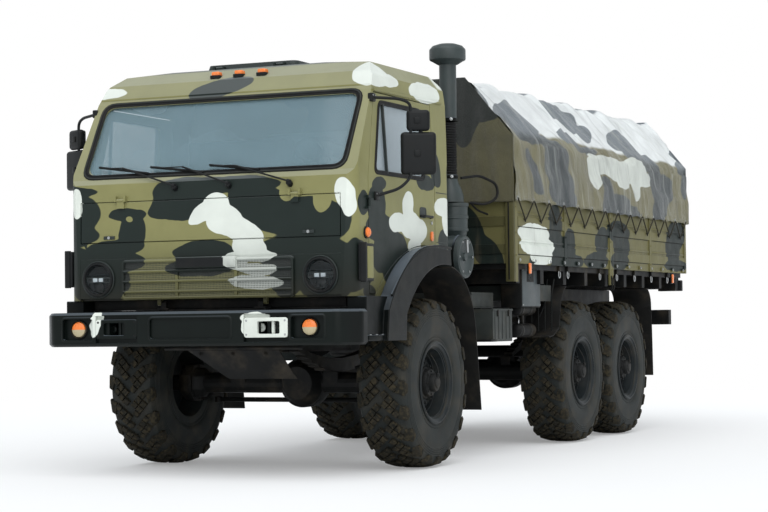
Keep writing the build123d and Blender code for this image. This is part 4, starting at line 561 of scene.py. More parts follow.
PAINT = {
    "cab": cab_paint(), "body": body_paint(), "tarp": tarp_cloth(), "bumper": bumper_paint(),
    "chassis": plain_paint("chassis_black", CHASSIS_BLACK, 0.55, 0.25),
    "wheel": plain_paint("wheel_black", WHEEL_BLACK, 0.42, 0.2),
    "plastic": plain_paint("black_plastic", (20, 22, 23), 0.42, 0.06, wear=0.1),
    # The arch's plastic gets a painted sky reflection on its upward faces
    "arch": plain_paint("arch_plastic", (9, 13, 13), 0.34, 0.05, wear=0.1, shine=0.1, sky_reflection=0.6),
    "seal": plain_paint("black_rubber", (20, 21, 22), 0.6, 0.05, wear=0.1),
    "flap": plain_paint("flap_rubber", (22, 22, 21), 0.7, 0.2),
    "box": plain_paint("box_grey", BOX_GREY, 0.5, 0.2),
    "crate": plain_paint("crate_grey", (70, 77, 79), 0.45, 0.12, shine=0.35),
    "steel": plain_paint("oily_steel", (46, 45, 43), 0.5, 0.3, metal=0.5),
    "bright": plain_paint("bare_steel", (176, 178, 178), 0.3, 0.05, metal=0.9),
    "silver": plain_paint("lamp_bowl", (200, 204, 206), 0.15, 0.0, metal=0.9, wear=0.04),
    "cast": plain_paint("cast_black", (26, 27, 27), 0.6, 0.2),
    "rope": plain_paint("tarred_rope", (46, 44, 36), 0.8, 0.2),
    "groove": plain_paint("groove_shadow", (24, 26, 20), 0.7, 0.2),
    "khaki": plain_paint("khaki_enamel", KHAKI, 0.45, 0.15, wear=0.08),
    "slate": plain_paint("slate_enamel", (46, 52, 51), 0.42, 0.12, wear=0.08),
    "pale": plain_paint("pale_enamel", PALE, 0.4, 0.08, wear=0.05),
    "tread": tyre_rubber(), "sidewall": wall_rubber(), "seat": seat_cloth(),
    "screen": glass("screen_glass", (124, 150, 160), 0.50),
    "window": glass("door_glass", (186, 199, 206), 0.50),
    "amber": lens("amber_lens", AMBER), "clear": lens("clear_lens", (226, 228, 224)),
    "smoke": lens("smoked_lens", (172, 158, 122)), "red": lens("red_lens", (150, 20, 16)),
    "mirror": glass("mirror_glass", (150, 158, 162), 1.0), "mesh": grille_mesh(),
    "led": lens("bright_lens", (182, 192, 198), 0.1), "cover": glass("lamp_cover", (54, 62, 64), 0.10, 0.02),
    "intake": plain_paint("intake_grey", (54, 62, 62), 0.38, 0.06, wear=0.1, shine=0.35),
}


# Shapes


def new_mesh(name, part):
    """A mesh made of a group of faces, which is used up."""
    data = bpy.data.meshes.new(name)
    part.to_mesh(data)
    part.free()
    return data


def new_object(name, data):
    """An object at the origin, put in the scene."""
    made = bpy.data.objects.new(name, data)
    bpy.context.scene.collection.objects.link(made)
    return made


def new_piece(name, data, finishes, body, replaces=()):
    """Turns a mesh into a named piece that rides on a body."""
    data.name = name
    for finish in finishes:
        data.materials.append(PAINT[finish])
    data.set_sharp_from_angle(angle=radians(SMOOTH_ANGLE))
    made = new_object(name, data)
    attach(made, body)
    if replaces:
        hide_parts(*replaces)


# Corners of a rectangle, in the order of its outline
SQUARE = ((-1, -1), (1, -1), (1, 1), (-1, 1))


class Shape:
    """Faces gathered for one piece, each group with its own finish."""

    def __init__(self):
        self.mesh = bmesh.new()
        self.finishes = []

    def take(self, part, finish, closed=True):
        """Adds a group of faces, which is used up."""
        if finish not in self.finishes:
            self.finishes.append(finish)
        if closed:
            bmesh.ops.recalc_face_normals(part, faces=part.faces)
        for face in part.faces:
            face.material_index = self.finishes.index(finish)
            face.smooth = True
        self.absorb(part)

    def absorb(self, part):
        """Moves faces that have their finish into the shape."""
        data = new_mesh("part", part)
        self.mesh.from_mesh(data)
        bpy.data.meshes.remove(data)

    def take_mesh(self, data, finish):
        """Adds a mesh, which is used up."""
        part = bmesh.new()
        part.from_mesh(data)
        bpy.data.meshes.remove(data)
        self.take(part, finish)

    def join(self, other, matrix):
        """Adds another shape with its own finishes, moved by a matrix."""
        self.finishes += [finish for finish in other.finishes if finish not in self.finishes]
        bmesh.ops.transform(other.mesh, matrix=matrix, verts=other.mesh.verts)
        for face in other.mesh.faces:
            face.material_index = self.finishes.index(other.finishes[face.material_index])
        self.absorb(other.mesh)

    def slab(self, low, high, finish, edge=0.004, steps=2):
        """A box between two corners, with rounded edges."""
        size = Vector([abs(b - a) for a, b in zip(low, high)])
        part = box_part((Vector(low) + Vector(high)) / 2, size)
        soften(part, min(edge, min(size) * 0.45), steps)
        self.take(part, finish)

    def plate(self, outline, depth, finish, edge):
        """A flat outline of 3-D points, given a thickness by a vector."""
        part = bmesh.new()
        near = [part.verts.new(point) for point in outline]
        far = [part.verts.new(Vector(point) + Vector(depth)) for point in outline]
        part.faces.new(near)
        part.faces.new(far)
        for index in range(len(near)):
            part.faces.new((near[index - 1], near[index], far[index], far[index - 1]))
        bmesh.ops.recalc_face_normals(part, faces=part.faces)
        soften(part, edge)
        self.take(part, finish)

    def lathe(self, profile, centre, axis, finish, sides=48, closed=False):
        """Turns a profile of radius and distance along the axis about that axis."""
        part = bmesh.new()
        axis = Vector(axis).normalized()
        across = axis.orthogonal().normalized()
        rings = []
        for radius, along in profile:
            if radius < 1e-6:
                rings.append([part.verts.new(Vector(centre) + axis * along)])
                continue
            ring = []
            for index in range(sides):
                turn = Matrix.Rotation(2 * pi * index / sides, 3, axis)
                ring.append(part.verts.new(Vector(centre) + axis * along + turn @ across * radius))
            rings.append(ring)
        pairs = list(zip(rings, rings[1:])) + ([(rings[-1], rings[0])] if closed else [])
        for first, second in pairs:
            for index in range(sides):
                quad = [first[index % len(first)], first[(index + 1) % len(first)],
                        second[(index + 1) % len(second)], second[index % len(second)]]
                corners = list(dict.fromkeys(quad))
                if len(corners) > 2:
                    part.faces.new(corners)
        self.take(part, finish)

    def sweep(self, path, section, finish, closed=False, up=None):
        """A section of across and up offsets, carried along a path of points."""
        part = bmesh.new()
        path = [Vector(point) for point in path]
        count = len(path)
        rings = []
        side = None
        for index, point in enumerate(path):
            before = path[index - 1] if closed or index else path[0]
            after = path[(index + 1) % count] if closed or index < count - 1 else path[-1]
            ahead = (after - before).normalized()
            if up:
                side = ahead.cross(Vector(up)).normalized()
            elif side is None:
                side = ahead.orthogonal().normalized()
            else:
                side = (side - ahead * side.dot(ahead)).normalized()
            above = side.cross(ahead).normalized()
            rings.append([part.verts.new(point + side * a + above * b) for a, b in section])
        width = len(section)
        for index in range(count if closed else count - 1):
            first, second = rings[index], rings[(index + 1) % count]
            for corner in range(width):
                part.faces.new((first[corner - 1], first[corner], second[corner], second[corner - 1]))
        if not closed:
            part.faces.new(rings[0])
            part.faces.new(rings[-1])
        self.take(part, finish)

    def tube(self, points, radius, finish, sides=10, bend=0.0, closed=False):
        """A round bar along a path, with its corners rounded by the bend."""
        path = rounded(points, bend, closed) if bend else points
        ring = [(radius * cos(2 * pi * k / sides), radius * sin(2 * pi * k / sides)) for k in range(sides)]
        self.sweep(path, ring, finish, closed)

    def skin(self, rows, finish, round_rows=False):
        """Faces over rows of points that have the same length and close on themselves."""
        part = bmesh.new()
        grid = [[part.verts.new(point) for point in row] for row in rows]
        pairs = list(zip(grid, grid[1:])) + ([(grid[-1], grid[0])] if round_rows else [])
        for first, second in pairs:
            for index in range(len(first)):
                part.faces.new((first[index - 1], first[index], second[index], second[index - 1]))
        self.take(part, finish)

    def rim(self, corners, profile, out, finish, corner=0.02, filled=False):
        """A moulding round a flat outline: the profile gives spread outwards and height along out."""
        corners = [Vector(point) for point in corners]
        out = Vector(out).normalized()
        rows = []
        for spread, height in profile:
            loop = []
            for index, point in enumerate(corners):
                first = (point - corners[index - 1]).normalized().cross(out)
                second = (corners[(index + 1) % len(corners)] - point).normalized().cross(out)
                loop.append(point + (first + second) / (1 + first.dot(second)) * spread + out * height)
            rows.append(rounded(loop, max(0.004, corner + spread * 0.8), True))
        self.skin(rows, finish, round_rows=not filled)
        if filled:
            part = bmesh.new()
            part.faces.new([part.verts.new(point) for point in rows[-1]])
            self.take(part, finish)

    def box_rim(self, centre, half, profile, finish, corner=0.02):
        """A moulding round an upright rectangle that faces forwards."""
        corners = [Vector(centre) + Vector((a * half[0], 0, b * half[1])) for a, b in SQUARE]
        self.rim(corners, profile, (0, -1, 0), finish, corner)

    def side_rim(self, centre, half, profile, finish, corner):
        """A filled moulding round an upright rectangle that faces left."""
        corners = [Vector(centre) + Vector((0, a * half[0], b * half[1])) for a, b in SQUARE]
        self.rim(corners, profile, (1, 0, 0), finish, corner, filled=True)

    def bolt(self, place, axis, radius, finish, height=None):
        """A hexagon head on a washer."""
        height = height or radius * 0.8
        foot = height * 0.25
        washer = [(0, 0), (radius * 1.5, 0), (radius * 1.5, foot), (0, foot)]
        head = [(0, foot), (radius, foot), (radius, height * 0.85), (radius * 0.8, height), (0, height)]
        self.lathe(washer, place, axis, finish, 16)
        self.lathe(head, place, axis, finish, 6)

    def mirrored(self):
        """Copies every face to the truck's other side."""
        part = self.mesh.copy()
        bmesh.ops.scale(part, vec=(-1, 1, 1), verts=part.verts)
        bmesh.ops.reverse_faces(part, faces=part.faces)
        self.absorb(part)

    def flipped(self):
        """Moves every face to the truck's other side."""
        bmesh.ops.scale(self.mesh, vec=(-1, 1, 1), verts=self.mesh.verts)
        bmesh.ops.reverse_faces(self.mesh, faces=self.mesh.faces)

    def piece(self, name, body, replaces=()):
        """Ends the shape as a named piece that rides on a body."""
        new_piece(name, new_mesh(name, self.mesh), self.finishes, body, replaces)


def box_part(centre, size):
    """The faces of a box."""
    part = bmesh.new()
    bmesh.ops.create_cube(part, size=1.0)
    place = Matrix.Translation(centre) @ Matrix.Diagonal((*size, 1))
    bmesh.ops.transform(part, matrix=place, verts=part.verts)
    return part


def soften(part, width, steps=2, angle=28):
    """Rounds every edge of a group of faces that is sharper than the angle."""
    part.normal_update()
    edges = [edge for edge in part.edges if edge.is_manifold and edge.calc_face_angle(0) > radians(angle)]
    bmesh.ops.bevel(
        part, geom=edges, offset=width, segments=steps, affect="EDGES", profile=0.5, clamp_overlap=True)


def rounded(points, radius, closed=False, steps=5):
    """The points with each corner turned into a small arc."""
    points = [Vector(point) for point in points]
    path = []
    count = len(points)
    for index, point in enumerate(points):
        if not closed and index in (0, count - 1):
            path.append(point)
            continue
        back = points[index - 1] - point
        ahead = points[(index + 1) % count] - point
        reach = min(radius, back.length * 0.48, ahead.length * 0.48)
        start = point + back.normalized() * reach
        end = point + ahead.normalized() * reach
        for step in range(steps + 1):
            share = step / steps
            path.append(start * (1 - share) ** 2 + point * 2 * share * (1 - share) + end * share ** 2)
    return path


def repeat_tree():
    """Copies of a piece, each turned on from the last about the origin, joined into one mesh."""
    tree = bpy.data.node_groups.new("repeats", "GeometryNodeTree")
    face = tree.interface
    sockets = {"Geometry": "Geometry", "Piece": "Object", "Count": "Int", "Turn": "Vector",
               "Finish": "Material"}
    for name, kind in sockets.items():
        face.new_socket(name, in_out="INPUT", socket_type=f"NodeSocket{kind}")
    face.new_socket("Geometry", in_out="OUTPUT", socket_type="NodeSocketGeometry")
    add = tree.nodes.new
    link = tree.links.new
    given = add("NodeGroupInput")
    result = add("NodeGroupOutput")
    points = add("GeometryNodeMeshLine")
    points.inputs["Offset"].default_value = (0, 0, 0)
    link(given.outputs["Count"], points.inputs["Count"])
    info = add("GeometryNodeObjectInfo")
    link(given.outputs["Piece"], info.inputs["Object"])
    index = add("GeometryNodeInputIndex")
    turn = add("ShaderNodeVectorMath")
    turn.operation = "SCALE"
    link(given.outputs["Turn"], turn.inputs[0])
    link(index.outputs[0], turn.inputs["Scale"])
    spin = add("FunctionNodeEulerToRotation")
    link(turn.outputs[0], spin.inputs[0])
    copies = add("GeometryNodeInstanceOnPoints")
    link(points.outputs["Mesh"], copies.inputs["Points"])
    link(info.outputs["Geometry"], copies.inputs["Instance"])
    link(spin.outputs[0], copies.inputs["Rotation"])
    whole = add("GeometryNodeRealizeInstances")
    link(copies.outputs[0], whole.inputs[0])
    coat = add("GeometryNodeSetMaterial")
    link(whole.outputs[0], coat.inputs["Geometry"])
    link(given.outputs["Finish"], coat.inputs["Material"])
    link(coat.outputs[0], result.inputs[0])
    return tree


REPEATS = repeat_tree()


def repeated(make, finish, count, turn):
    """A mesh of copies of what make() adds to a shape, each turned on from the last about the origin."""
    shape = Shape()
    make(shape)
    one = new_object("one", new_mesh("one", shape.mesh))
    host = new_object("host", bpy.data.meshes.new("host"))
    modifier = host.modifiers.new("repeats", "NODES")
    modifier.node_group = REPEATS
    names = {item.name: item.identifier for item in REPEATS.interface.items_tree if item.in_out == "INPUT"}
    for name, value in (("Piece", one), ("Count", count), ("Turn", turn), ("Finish", PAINT[finish])):
        modifier[names[name]] = value
    graph = bpy.context.evaluated_depsgraph_get()
    result = bpy.data.meshes.new_from_object(host.evaluated_get(graph))
    bpy.data.objects.remove(host)
    bpy.data.objects.remove(one)
    return result


def dress(node, finish, edge):
    """Gives a CAD node its finish, and rounds its edges as it is shown."""
    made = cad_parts[node]
    for slot in made.material_slots:
        slot.material = PAINT[finish]
    weld = made.modifiers.new("weld", "WELD")
    weld.merge_threshold = 0.00005
    bevel = made.modifiers.new("edges", "BEVEL")
    bevel.width = edge
    bevel.segments = 2
    bevel.limit_method = "ANGLE"
    bevel.angle_limit = radians(30)
    bevel.use_clamp_overlap = True
    split = made.modifiers.new("split", "EDGE_SPLIT")
    split.split_angle = radians(34)


# Camera, floor and light


def set_camera():
    """The fitted camera, level with the bumper and rolled a little."""
    data = bpy.data.cameras.new("camera")
    data.lens = CAMERA_LENS
    data.clip_end = 300
    camera = new_object("camera", data)
    yaw, pitch, roll = (radians(angle) for angle in (CAMERA_YAW, CAMERA_PITCH, CAMERA_ROLL))
    ahead = Vector((-sin(yaw) * cos(pitch), cos(yaw) * cos(pitch), sin(pitch)))
    level = Vector((cos(yaw), sin(yaw), 0))
    upright = level.cross(ahead)
    right = level * cos(roll) + upright * sin(roll)
    above = upright * cos(roll) - level * sin(roll)
    turned = Matrix((right, above, -ahead)).transposed().to_4x4()
    camera.matrix_world = Matrix.Translation(CAMERA_PLACE) @ turned
    bpy.context.scene.camera = camera


def set_light():
    """A pale sky that cameras see as white, and two broad soft suns."""
    scene = bpy.context.scene
    scene.view_settings.view_transform = "Standard"
    world = bpy.data.worlds.new("studio")
    scene.world = world
    world.use_nodes = True
    tree = world.node_tree
    plain = tree.nodes["Background"]
    plain.inputs["Color"].default_value = (0.93, 0.97, 1.0, 1)
    plain.inputs["Strength"].default_value = 0.72
    white = tree.nodes.new("ShaderNodeBackground")
    white.inputs["Color"].default_value = (1, 1, 1, 1)
    path = tree.nodes.new("ShaderNodeLightPath")
    seen = tree.nodes.new("ShaderNodeMath")
    seen.operation = "MAXIMUM"
    tree.links.new(path.outputs["Is Camera Ray"], seen.inputs[0])
    tree.links.new(path.outputs["Is Transmission Ray"], seen.inputs[1])
    mix = tree.nodes.new("ShaderNodeMixShader")
    tree.links.new(seen.outputs[0], mix.inputs[0])
    tree.links.new(plain.outputs[0], mix.inputs[1])
    tree.links.new(white.outputs[0], mix.inputs[2])
    tree.links.new(mix.outputs[0], tree.nodes["World Output"].inputs["Surface"])
    suns = (("sky_lamp", (28, 0, 20), 1.5, 70), ("front_lamp", (68, 0, 38), 0.7, 60))
    for name, turn, power, spread in suns:
        data = bpy.data.lights.new(name, "SUN")
        data.energy = power
        data.angle = radians(spread)
        lamp = new_object(name, data)
        lamp.rotation_euler = [radians(angle) for angle in turn]


def set_floor():
    """A pale floor that keeps the truck's shadow and turns white further out."""
    finish = Finish("pale_floor", (240, 241, 242), 0.9)
    tree = finish.tree
    far = finish.step(finish.vector("LENGTH", finish.place, output="Value"), 6.0, 14.0)
    glow = tree.nodes.new("ShaderNodeEmission")
    glow.inputs["Color"].default_value = (1, 1, 1, 1)
    mix = tree.nodes.new("ShaderNodeMixShader")
    camera = finish.node("ShaderNodeLightPath", output="Is Camera Ray")
    finish.feed(mix.inputs[0], (far * 0.75 + 0.25) * camera)
    tree.links.new(finish.shader.outputs[0], mix.inputs[1])
    tree.links.new(glow.outputs[0], mix.inputs[2])
    tree.links.new(mix.outputs[0], tree.nodes["Material Output"].inputs["Surface"])
    part = bmesh.new()
    bmesh.ops.create_grid(part, x_segments=2, y_segments=2, size=150)
    data = new_mesh("floor", part)
    data.materials.append(finish.material)
    new_object("floor", data)


# Wheels


TREAD_RADIUS = 0.622
LUG_DEPTH = 0.024
BAR_COUNT = 20
BLOCK = 0.0465
BLOCK_STEP = 0.0525
SLANT = cos(pi / 4)
# Outline of a lug on the tyre's shoulder: how far outboard, radius, and how much shorter at each end
SHOULDER = [(0.166, 0.604, 0), (0.1855, 0.596, 0), (0.1955, 0.560, 0.012), (0.1935, 0.542, 0.022),
            (0.166, 0.560, 0)]


def crown(across):
    """The tread's radius, lower towards the shoulders."""
    return TREAD_RADIUS - 0.026 * (abs(across) / 0.185) ** 3


def wheel_point(across, radius, turn):
    """A place on a wheel: how far outboard, how far from the axle, and the turn from the top."""
    return Vector((across, -radius * sin(turn), radius * cos(turn)))


def lug(shape, side, corners):
    """One rubber block of the tread: its walls and a bevelled top over corners across and round the wheel."""
    part = bmesh.new()
    middle = [sum(values) / len(corners) for values in zip(*corners)]
    levels = []
    for sink, share in ((LUG_DEPTH + 0.004, 1.05), (0.0035, 0.98), (0.0, 0.86)):
        ring = []
        for point in corners:
            across, round_it = (m + (p - m) * share for p, m in zip(point, middle))
            place = wheel_point(side * across, crown(across) - sink, round_it / TREAD_RADIUS)
            ring.append(part.verts.new(place))
        levels.append(ring)
    for first, second in zip(levels, levels[1:]):
        for corner in range(len(corners)):
            part.faces.new((first[corner - 1], first[corner], second[corner], second[corner - 1]))
    part.faces.new(levels[-1])
    part.faces.new(levels[0])
    shape.take(part, "tread")


def tread_bar(side, offset):
    """A slanting bar of square blocks in two rows, from the middle of the tread to a lug on the shoulder."""
    def make(shape):
        for row in range(2):
            low = row * BLOCK_STEP
            for cell in range(3):
                start = low + BLOCK + 0.002 + cell * BLOCK_STEP
                end = start + BLOCK
                square = [(start, low), (end, low), (end, low + BLOCK), (start, low + BLOCK)]
                lug(shape, side, [((s - t) * SLANT, offset + (s + t) * SLANT) for s, t in square])
        shoulder = [(0.151, 0.151), (0.184, 0.166), (0.184, 0.276), (0.120, 0.250)]
        lug(shape, side, [(across, offset + round_it) for across, round_it in shoulder])
        # The same lug where it runs down on to the sidewall
        part = bmesh.new()
        outer = []
        for x, radius, inset in SHOULDER:
            ends = (offset + 0.168 + inset, offset + 0.274 - inset)
            outer.append([part.verts.new(wheel_point(side * x, radius, end / TREAD_RADIUS)) for end in ends])
        for first, second in zip(outer, outer[1:] + outer[:1]):
            part.faces.new((first[0], first[1], second[1], second[0]))
        part.faces.new([pair[0] for pair in outer])
        part.faces.new([pair[1] for pair in outer])
        bmesh.ops.recalc_face_normals(part, faces=part.faces)
        soften(part, 0.003, 1)
        shape.take(part, "tread")
    return make


# Profiles of radius and distance outboard: half of the tyre from its inboard side, the rim and the hub
CARCASS = [
    (0.256, -0.150), (0.262, -0.172), (0.290, -0.178), (0.312, -0.176), (0.318, -0.180), (0.330, -0.181),
    (0.336, -0.177), (0.342, -0.182), (0.370, -0.187), (0.410, -0.190), (0.450, -0.190), (0.478, -0.188),
    (0.482, -0.191), (0.490, -0.191), (0.494, -0.187), (0.498, -0.190), (0.506, -0.190), (0.510, -0.186),
    (0.514, -0.189), (0.522, -0.188), (0.526, -0.184), (0.530, -0.187), (0.538, -0.186), (0.542, -0.182),
    (0.572, -0.176), (0.588, -0.164), (0.595, -0.140), (0.598, -0.09), (0.599, 0.0)]


def tyre_shape():
    """A carcass with ribbed walls under two staggered rows of tread bars."""
    shape = Shape()
    half = CARCASS + [(radius, -along) for radius, along in reversed(CARCASS[:-1])]
    shape.lathe(half, (0, 0, 0), (1, 0, 0), "sidewall", 96, closed=True)
    for side, offset in ((1, 0.0), (-1, pi * TREAD_RADIUS / BAR_COUNT)):
        bars = repeated(tread_bar(side, offset), "tread", BAR_COUNT, (2 * pi / BAR_COUNT, 0, 0))
        shape.take_mesh(bars, "tread")
    return shape


RIM = [
    (0.292, 0.168), (0.300, 0.176), (0.304, 0.184), (0.298, 0.190), (0.288, 0.188), (0.280, 0.180),
    (0.268, 0.176), (0.262, 0.160), (0.250, 0.150), (0.246, 0.120), (0.240, 0.100), (0.236, 0.060),
    (0.232, 0.042), (0.222, 0.040), (0.205, 0.046), (0.186, 0.066), (0.176, 0.072), (0.118, 0.072),
    (0.112, 0.078), (0.0, 0.078), (0.0, 0.060), (0.17, 0.056), (0.225, 0.022), (0.250, 0.022),
    (0.254, 0.120), (0.256, 0.162), (0.270, 0.172)]
HUB = [
    (0.116, 0.074), (0.120, 0.088), (0.116, 0.104), (0.106, 0.110), (0.104, 0.130), (0.098, 0.142),
    (0.072, 0.146), (0.068, 0.150), (0.066, 0.178), (0.060, 0.188), (0.044, 0.192), (0.040, 0.200),
    (0.0, 0.202)]


def rim_shape(spare=False):
    """A rim with its studs and, on a driven wheel, its hub and the air line to the tyre."""
    shape = Shape()
    outboard = (1, 0, 0)
    shape.lathe(RIM, (0, 0, 0), outboard, "wheel", 96, closed=True)
    for across, radius, thickness, sides in ((0.186, 0.2905, 0.006, 8), (0.073, 0.224, 0.004, 6)):
        ring = [wheel_point(across, radius, 2 * pi * k / 72) for k in range(72)]
        shape.tube(ring, thickness, "wheel", sides, closed=True)

    def stud(part):
        place = (0.072, 0, 0.148)
        part.bolt(place, outboard, 0.0125, "wheel", 0.018)
        tip = [(0, 0.016), (0.008, 0.016), (0.008, 0.030), (0.005, 0.033), (0, 0.033)]
        part.lathe(tip, place, outboard, "wheel", 10)

    def hub_bolt(part):
        part.bolt((0.142, 0, 0.085), outboard, 0.008, "cast", 0.009)

    shape.take_mesh(repeated(stud, "wheel", 10, (pi / 5, 0, 0)), "wheel")
    if spare:
        return shape
    shape.lathe(HUB, (0, 0, 0), outboard, "cast", 64)
    shape.take_mesh(repeated(hub_bolt, "cast", 8, (pi / 4, 0, 0)), "cast")
    # Air line from the hub's cap to the rim, with its tap
    line = [(0.196, 0, 0.02), (0.203, 0.0, 0.05), (0.19, 0.02, 0.10), (0.16, 0.03, 0.16), (0.12, 0.03, 0.215)]
    shape.tube(line, 0.005, "cast", 8, bend=0.03)
    tap = [(0, -0.012), (0.014, -0.012), (0.014, 0.014), (0.009, 0.018), (0, 0.018)]
    shape.lathe(tap, (0.192, 0.004, 0.052), (0.3, 0, 1), "cast", 14)
    return shape


def wheels():
    """A tyre and a rim for each wheel, moved into place from one model of each kind."""
    models = {}
    for word, shape in (("tyre", tyre_shape()), ("rim", rim_shape()), ("spare_rim", rim_shape(spare=True))):
        models[word] = (new_mesh(f"{word}_model", shape.mesh), shape.finishes)
    places = [("spare", "chassis", Matrix.Translation(SPARE_PLACE) @ Matrix.Rotation(pi / 2, 4, "Z"))]
    for axle, y in AXLES.items():
        for side, x, turn in (("left", HUB_X, 0), ("right", -HUB_X, pi)):
            place = Matrix.Translation((x, y, HUB_Z)) @ Matrix.Rotation(turn, 4, "Z")
            places.append((f"{axle}_{side}", f"wheel_{axle}_{side}", place))
    for name, body, place in places:
        for word, slot in (("tyre", "tyre_rubber"), ("rim", "wheel_paint")):
            node = f"spare_{word}" if name == "spare" else f"{word}_{name}"
            model, finishes = models[node if node in models else word]
            data = model.copy()
            data.transform(place)
            new_piece(f"{word}_{name}_detail", data, finishes, body, [node])


# Cab


def skin_of(*nodes):
    """The faces of some solids, to lay small pieces on."""
    verts, faces = [], []
    for node in nodes:
        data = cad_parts[node].data
        start = len(verts)
        verts += [vert.co.copy() for vert in data.vertices]
        faces += [[start + index for index in face.vertices] for face in data.polygons]
    return BVHTree.FromPolygons(verts, faces)


CAB_SKIN = skin_of("cab_shell", "door_left", "front_flap", "grille_panel")
SCREEN_OUT = Vector((0, -0.8705, 0.4922))


def on_front(x, z):
    """The place on the cab's front at a width and a height."""
    return CAB_SKIN.ray_cast(Vector((x, -5, z)), Vector((0, 1, 0)))[0]


def on_side(y, z, proud=0.0):
    """A place on the cab's left side, or a little proud of it."""
    spot = CAB_SKIN.ray_cast(Vector((3, y, z)), Vector((-1, 0, 0)))[0]
    return spot + Vector((proud, 0, 0))


def on_window(y, z, proud=0.0):
    """A place on the plane of the left door's window, which leans in above the belt."""
    return Vector((CAB_SIDE - (z - BELT_Z) * SIDE_LEAN + proud, y, z))


def on_screen(x, z, proud=0.0):
    """A place on the plane of the windscreen, or a little proud of it."""
    return Vector((x, -3.75 + (z - 2.125) * 0.5655, z)) + SCREEN_OUT * proud


def screen_seal():
    """The three-banded rubber round the windscreen, with the bead in it."""
    shape = Shape()
    corners = [on_screen(x, z) for x, z in ((-1.038, 2.150), (1.038, 2.150), (1.038, 2.690), (-1.038, 2.690))]
    bands = [
        (-0.010, -0.002), (-0.010, 0.006), (0.001, 0.008), (0.004, 0.003), (0.008, 0.008), (0.015, 0.008),
        (0.019, 0.003), (0.023, 0.007), (0.029, 0.005), (0.032, -0.012), (0.022, -0.014)]
    bead = [(0.0165, 0.002), (0.0165, 0.0085), (0.0215, 0.0085), (0.0215, 0.002)]
    shape.rim(corners, bands, SCREEN_OUT, "seal", 0.085)
    shape.rim(corners, bead, SCREEN_OUT, "box", 0.085)
    shape.piece("windscreen_seal", "cab")


def gutters():
    """Rain rails over the doors and the screen, and the seams behind the left door."""
    shape = Shape()
    rail = [
        (0.010, -0.006), (0.010, 0.010), (0.004, 0.014), (-0.010, 0.014), (-0.010, 0.009), (-0.002, 0.008),
        (-0.002, -0.006)]
    path = [(-3.40, 2.702), (-3.20, 2.706), (-2.92, 2.708), (-2.60, 2.712), (-2.17, 2.717)]
    shape.sweep([on_side(y, z) for y, z in path], rail, "cab", up=LEFT)
    shape.mirrored()
    front = [on_front(x, 2.742) for x in (-1.10, -0.55, 0.0, 0.55, 1.10)]
    rail = [(-0.004, -0.006), (0.006, -0.006), (0.012, 0.000), (0.006, 0.006), (-0.004, 0.006)]
    shape.sweep(front, rail, "cab", up=AHEAD)
    gap = [(-0.004, -0.002), (0.004, -0.002), (0.004, 0.002), (-0.004, 0.002)]
    shape.sweep([point + Vector((0, -0.001, -0.010)) for point in front], gap, "seal", up=AHEAD)
    seam = [(-0.003, -0.002), (0.003, -0.002), (0.003, 0.0012), (-0.003, 0.0012)]
    for z in (2.03, 1.66):
        shape.sweep([on_side(y, z, 0.0006) for y in (-2.36, -2.25, -2.14)], seam, "slate", up=LEFT)
    shape.piece("rain_rails", "cab")


def grille():
    """Three bars and two uprights over a dark mesh, in a moulded frame."""
    shape = Shape()
    y = CAB_FRONT
    shape.slab((-0.676, y - 0.003, 1.268), (0.676, y + 0.001, 1.520), "mesh", 0.001, 1)
    moulding = [(-0.004, -0.002), (-0.006, 0.016), (0.002, 0.020), (0.012, 0.016), (0.016, -0.002)]
    shape.box_rim((0, y, 1.394), (0.676, 0.128), moulding, "cab", 0.022)
    bar = [(-0.010, -0.018), (-0.004, -0.022), (0.004, -0.021), (0.009, -0.016), (0.008, 0.0), (-0.010, 0.0)]
    for z in (1.452, 1.380, 1.308):
        rows = [[Vector((x, y + back, z + up)) for up, back in bar] for x in (-0.678, -0.25, 0.25, 0.678)]
        shape.skin(rows, "cab")
    for x in (-0.237, 0.237):
        shape.slab((x - 0.012, y - 0.017, 1.268), (x + 0.012, y, 1.520), "cab", 0.004)
    # Blank plate over the bars, with its two blank insets
    shape.slab((-0.245, y - 0.034, 1.465), (0.245, y - 0.006, 1.546), "cab", 0.008, 3)
    shape.slab((-0.232, y - 0.036, 1.473), (0.150, y - 0.010, 1.538), "plastic", 0.004)
    shape.slab((0.180, y - 0.037, 1.476), (0.234, y - 0.010, 1.534), "cab", 0.006)
    shape.piece("grille_bars", "cab")


